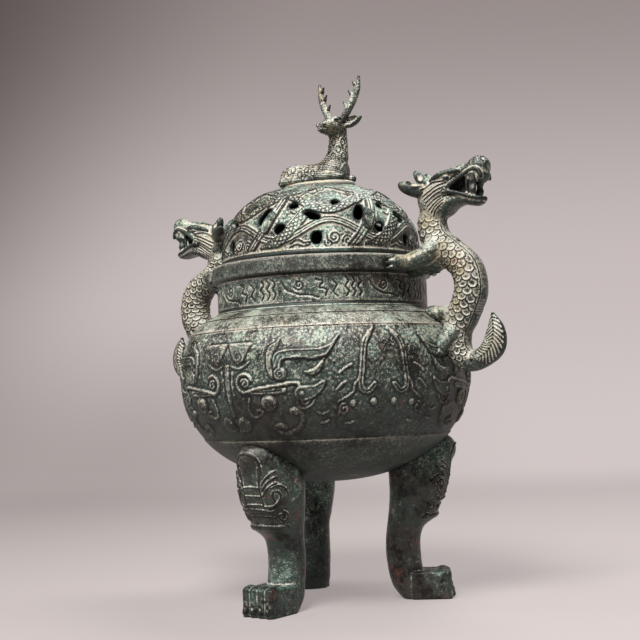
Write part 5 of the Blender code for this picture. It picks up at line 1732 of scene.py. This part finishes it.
def make_camera():
    """The camera at the photograph's viewing angle."""
    turn, yaw = math.radians(CAMERA_TURN), math.radians(CAMERA_YAW)
    pitch, roll = math.radians(CAMERA_PITCH), math.radians(CAMERA_ROLL)
    up = Vector((0.0, 0.0, 1.0))
    ahead = Vector((-math.sin(turn - yaw), math.cos(turn - yaw), 0.0))
    right = ahead.cross(up)
    ahead, up = ahead * math.cos(pitch) + up * math.sin(pitch), up * math.cos(pitch) - ahead * math.sin(pitch)
    right, up = right * math.cos(roll) + up * math.sin(roll), up * math.cos(roll) - right * math.sin(roll)
    camera = bpy.data.objects.new("camera", bpy.data.cameras.new("camera"))
    camera.data.lens = CAMERA_LENS
    camera.data.sensor_width = CAMERA_SENSOR
    camera.data.clip_start = 0.01
    spot = Vector((math.sin(turn), -math.cos(turn), 0.0)) * CAMERA_AWAY + Vector((0.0, 0.0, CAMERA_HEIGHT))
    facing = Matrix((right, up, -ahead)).transposed().to_4x4()
    camera.matrix_world = Matrix.Translation(spot * MM) @ facing
    bpy.context.scene.collection.objects.link(camera)
    bpy.context.scene.camera = camera


def view_place(right, ahead, up):
    """A place told from the object's foot as the camera sees it, in metres."""
    turn = math.radians(CAMERA_TURN)
    return Vector((
        right * math.cos(turn) - ahead * math.sin(turn),
        right * math.sin(turn) + ahead * math.cos(turn),
        up,
    ))


LAMP_AIM = Vector((0.0, 0.0, 0.17))
WORLD_TONE = (0.93, 0.96, 1.0, 1.0)
WORLD_STRENGTH = 0.06


def make_lamp(name, where, size, power):
    """A soft box that faces the middle of the object."""
    lamp = bpy.data.objects.new(name, bpy.data.lights.new(name, "AREA"))
    lamp.data.shape = "RECTANGLE"
    lamp.data.size, lamp.data.size_y = size
    lamp.data.energy = power
    lamp.location = where
    lamp.rotation_mode = "QUATERNION"
    lamp.rotation_quaternion = (LAMP_AIM - lamp.location).to_track_quat("-Z", "Y")
    bpy.context.scene.collection.objects.link(lamp)


def make_lights():
    """Three soft boxes and a faint cool sky."""
    make_lamp("key", view_place(-0.22, -0.72, 1.10), (0.4, 0.4), 28.0)
    make_lamp("left", view_place(-1.05, -0.05, 0.62), (0.3, 0.8), 4.0)
    make_lamp("top", view_place(0.30, 0.25, 1.20), (0.45, 0.45), 10.0)
    world = bpy.data.worlds.new("studio")
    world.use_nodes = True
    sky = world.node_tree.nodes["Background"]
    sky.inputs["Color"].default_value = WORLD_TONE
    sky.inputs["Strength"].default_value = WORLD_STRENGTH
    bpy.context.scene.world = world


FLOOR_TONE = (0.46, 0.410, 0.400)
# Painted light falloff on the glowing stage: the ground darker left than right, the backdrop darker high up
# and in its upper left corner
GROUND_LEFT = (0.41, 0.362, 0.354)
GROUND_RIGHT = (0.64, 0.573, 0.563)
BACKDROP_MIDDLE = (0.575, 0.511, 0.504)
BACKDROP_HIGH = (0.30, 0.257, 0.250)
CORNER_SHADE = (0.09, 0.073, 0.070)
FLOOR_GLOW = 0.6


def stage_material():
    """Pale matt floor that turns into a soft grey backdrop; both glow for camera, glossy and transmission
    rays, the floor in part, in tones with painted light falloff: darker towards the top, the upper left and
    the left.
    """
    graph = Graph("pale_floor")
    graph.shader.inputs["Base Color"].default_value = (*FLOOR_TONE, 1.0)
    graph.shader.inputs["Roughness"].default_value = 0.8
    place_in = graph.node("ShaderNodeSeparateXYZ")
    graph.feed(place_in.inputs[0], graph.coordinates)
    side, away, height = (place_in.outputs[way] for way in "XYZ")
    # Painted light falloff: the floor darker on the left, lighter on the right
    tone = graph.mix(graph.step(side, -0.45, 0.45), GROUND_LEFT, GROUND_RIGHT)
    tone = graph.mix(graph.step(height, 0.02, 0.40), tone, BACKDROP_MIDDLE)
    # Painted light falloff: the backdrop darker high up, and darkest at its upper left corner
    tone = graph.mix(graph.step(height, 0.35, 1.15), tone, BACKDROP_HIGH)
    corner = graph.total((height, 0.45), (side, -0.85))
    tone = graph.mix(graph.step(corner, 0.45, 1.30), tone, CORNER_SHADE)
    glow = graph.node("ShaderNodeEmission")
    graph.feed(glow.inputs["Color"], tone)
    path = graph.node("ShaderNodeLightPath")
    seen = graph.maths("MAXIMUM", path.outputs["Is Camera Ray"], path.outputs["Is Glossy Ray"])
    seen = graph.maths("MAXIMUM", seen, path.outputs["Is Transmission Ray"])
    # The floor glows in part even beside the object, which lightens its shadow
    share = graph.maths("MAXIMUM", graph.step(away, 0.0, 1.40), FLOOR_GLOW)
    blend = graph.node("ShaderNodeMixShader")
    graph.feed(blend.inputs[0], graph.maths("MULTIPLY", share, seen))
    graph.feed(blend.inputs[1], graph.shader.outputs[0])
    graph.feed(blend.inputs[2], glow.outputs[0])
    graph.feed(graph.tree.nodes["Material Output"].inputs["Surface"], blend.outputs[0])
    return graph.material


def make_stage():
    """A floor that sweeps up into a backdrop behind the object."""
    near, far, bend, top, half = -2.5, 1.3, 0.6, 3.0, 4.0
    sweep = [(far + bend * math.sin(a), bend - bend * math.cos(a)) for a in np.linspace(0.0, math.pi / 2, 16)]
    outline = [(near, 0.0), (0.0, 0.0), (0.4, 0.0), (0.8, 0.0), *sweep, (far + bend, top)]
    points = np.array([(side, y, z) for y, z in outline for side in (-half, half)]) / MM
    row = np.arange(len(outline) - 1)
    quads = np.stack([2 * row, 2 * row + 1, 2 * row + 3, 2 * row + 2], 1)
    floor = bpy.data.objects.new("floor", new_mesh("floor", points, quads))
    floor.data.materials.append(stage_material())
    floor.rotation_euler.z = math.radians(CAMERA_TURN)
    bpy.context.scene.collection.objects.link(floor)


def main():
    scene = bpy.context.scene
    scene.view_settings.view_transform = "Standard"
    make_camera()
    make_lights()
    make_stage()
    bowl_bronze = patina("bowl_bronze", green=0.56, pale=0.35, ochre=0.10, red=0.60, worn=0.6, dust_and_top_light=0.3)
    make_belly_band(bowl_bronze)
    make_neck_band(bowl_bronze)
    make_bowl_shell(bowl_bronze)
    handle_bronze = patina("handle_bronze", green=0.62, pale=0.54, ochre=0.30, red=0.65, worn=1.2, dust_and_top_light=0.3)
    make_handles(handle_bronze)
    leg_bronze = patina("leg_bronze", green=0.52, pale=0.30, ochre=0.05, red=0.75, worn=1.0, dust_and_top_light=0.3)
    make_legs(leg_bronze)
    lid_bronze = patina("lid_bronze", green=0.54, pale=0.37, ochre=0.15, red=0.55, worn=1.2, dust_and_top_light=0.1)
    make_lid(lid_bronze)
    make_lid_ring(lid_bronze)
    finial_bronze = patina("finial_bronze", green=0.54, pale=0.50, ochre=0.34, red=0.20, worn=1.4, dust_and_top_light=0.3)
    make_plinth(finial_bronze)
    make_stag(finial_bronze)
    make_antlers(finial_bronze)
    rivet_bronze = patina("rivet_bronze", green=0.3, pale=0.2, ochre=0.4, red=0.4, worn=0.5, dust_and_top_light=0.1)
    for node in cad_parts.values():
        if not node.hide_render:
            node.data.materials.clear()
            node.data.materials.append(rivet_bronze)


main()
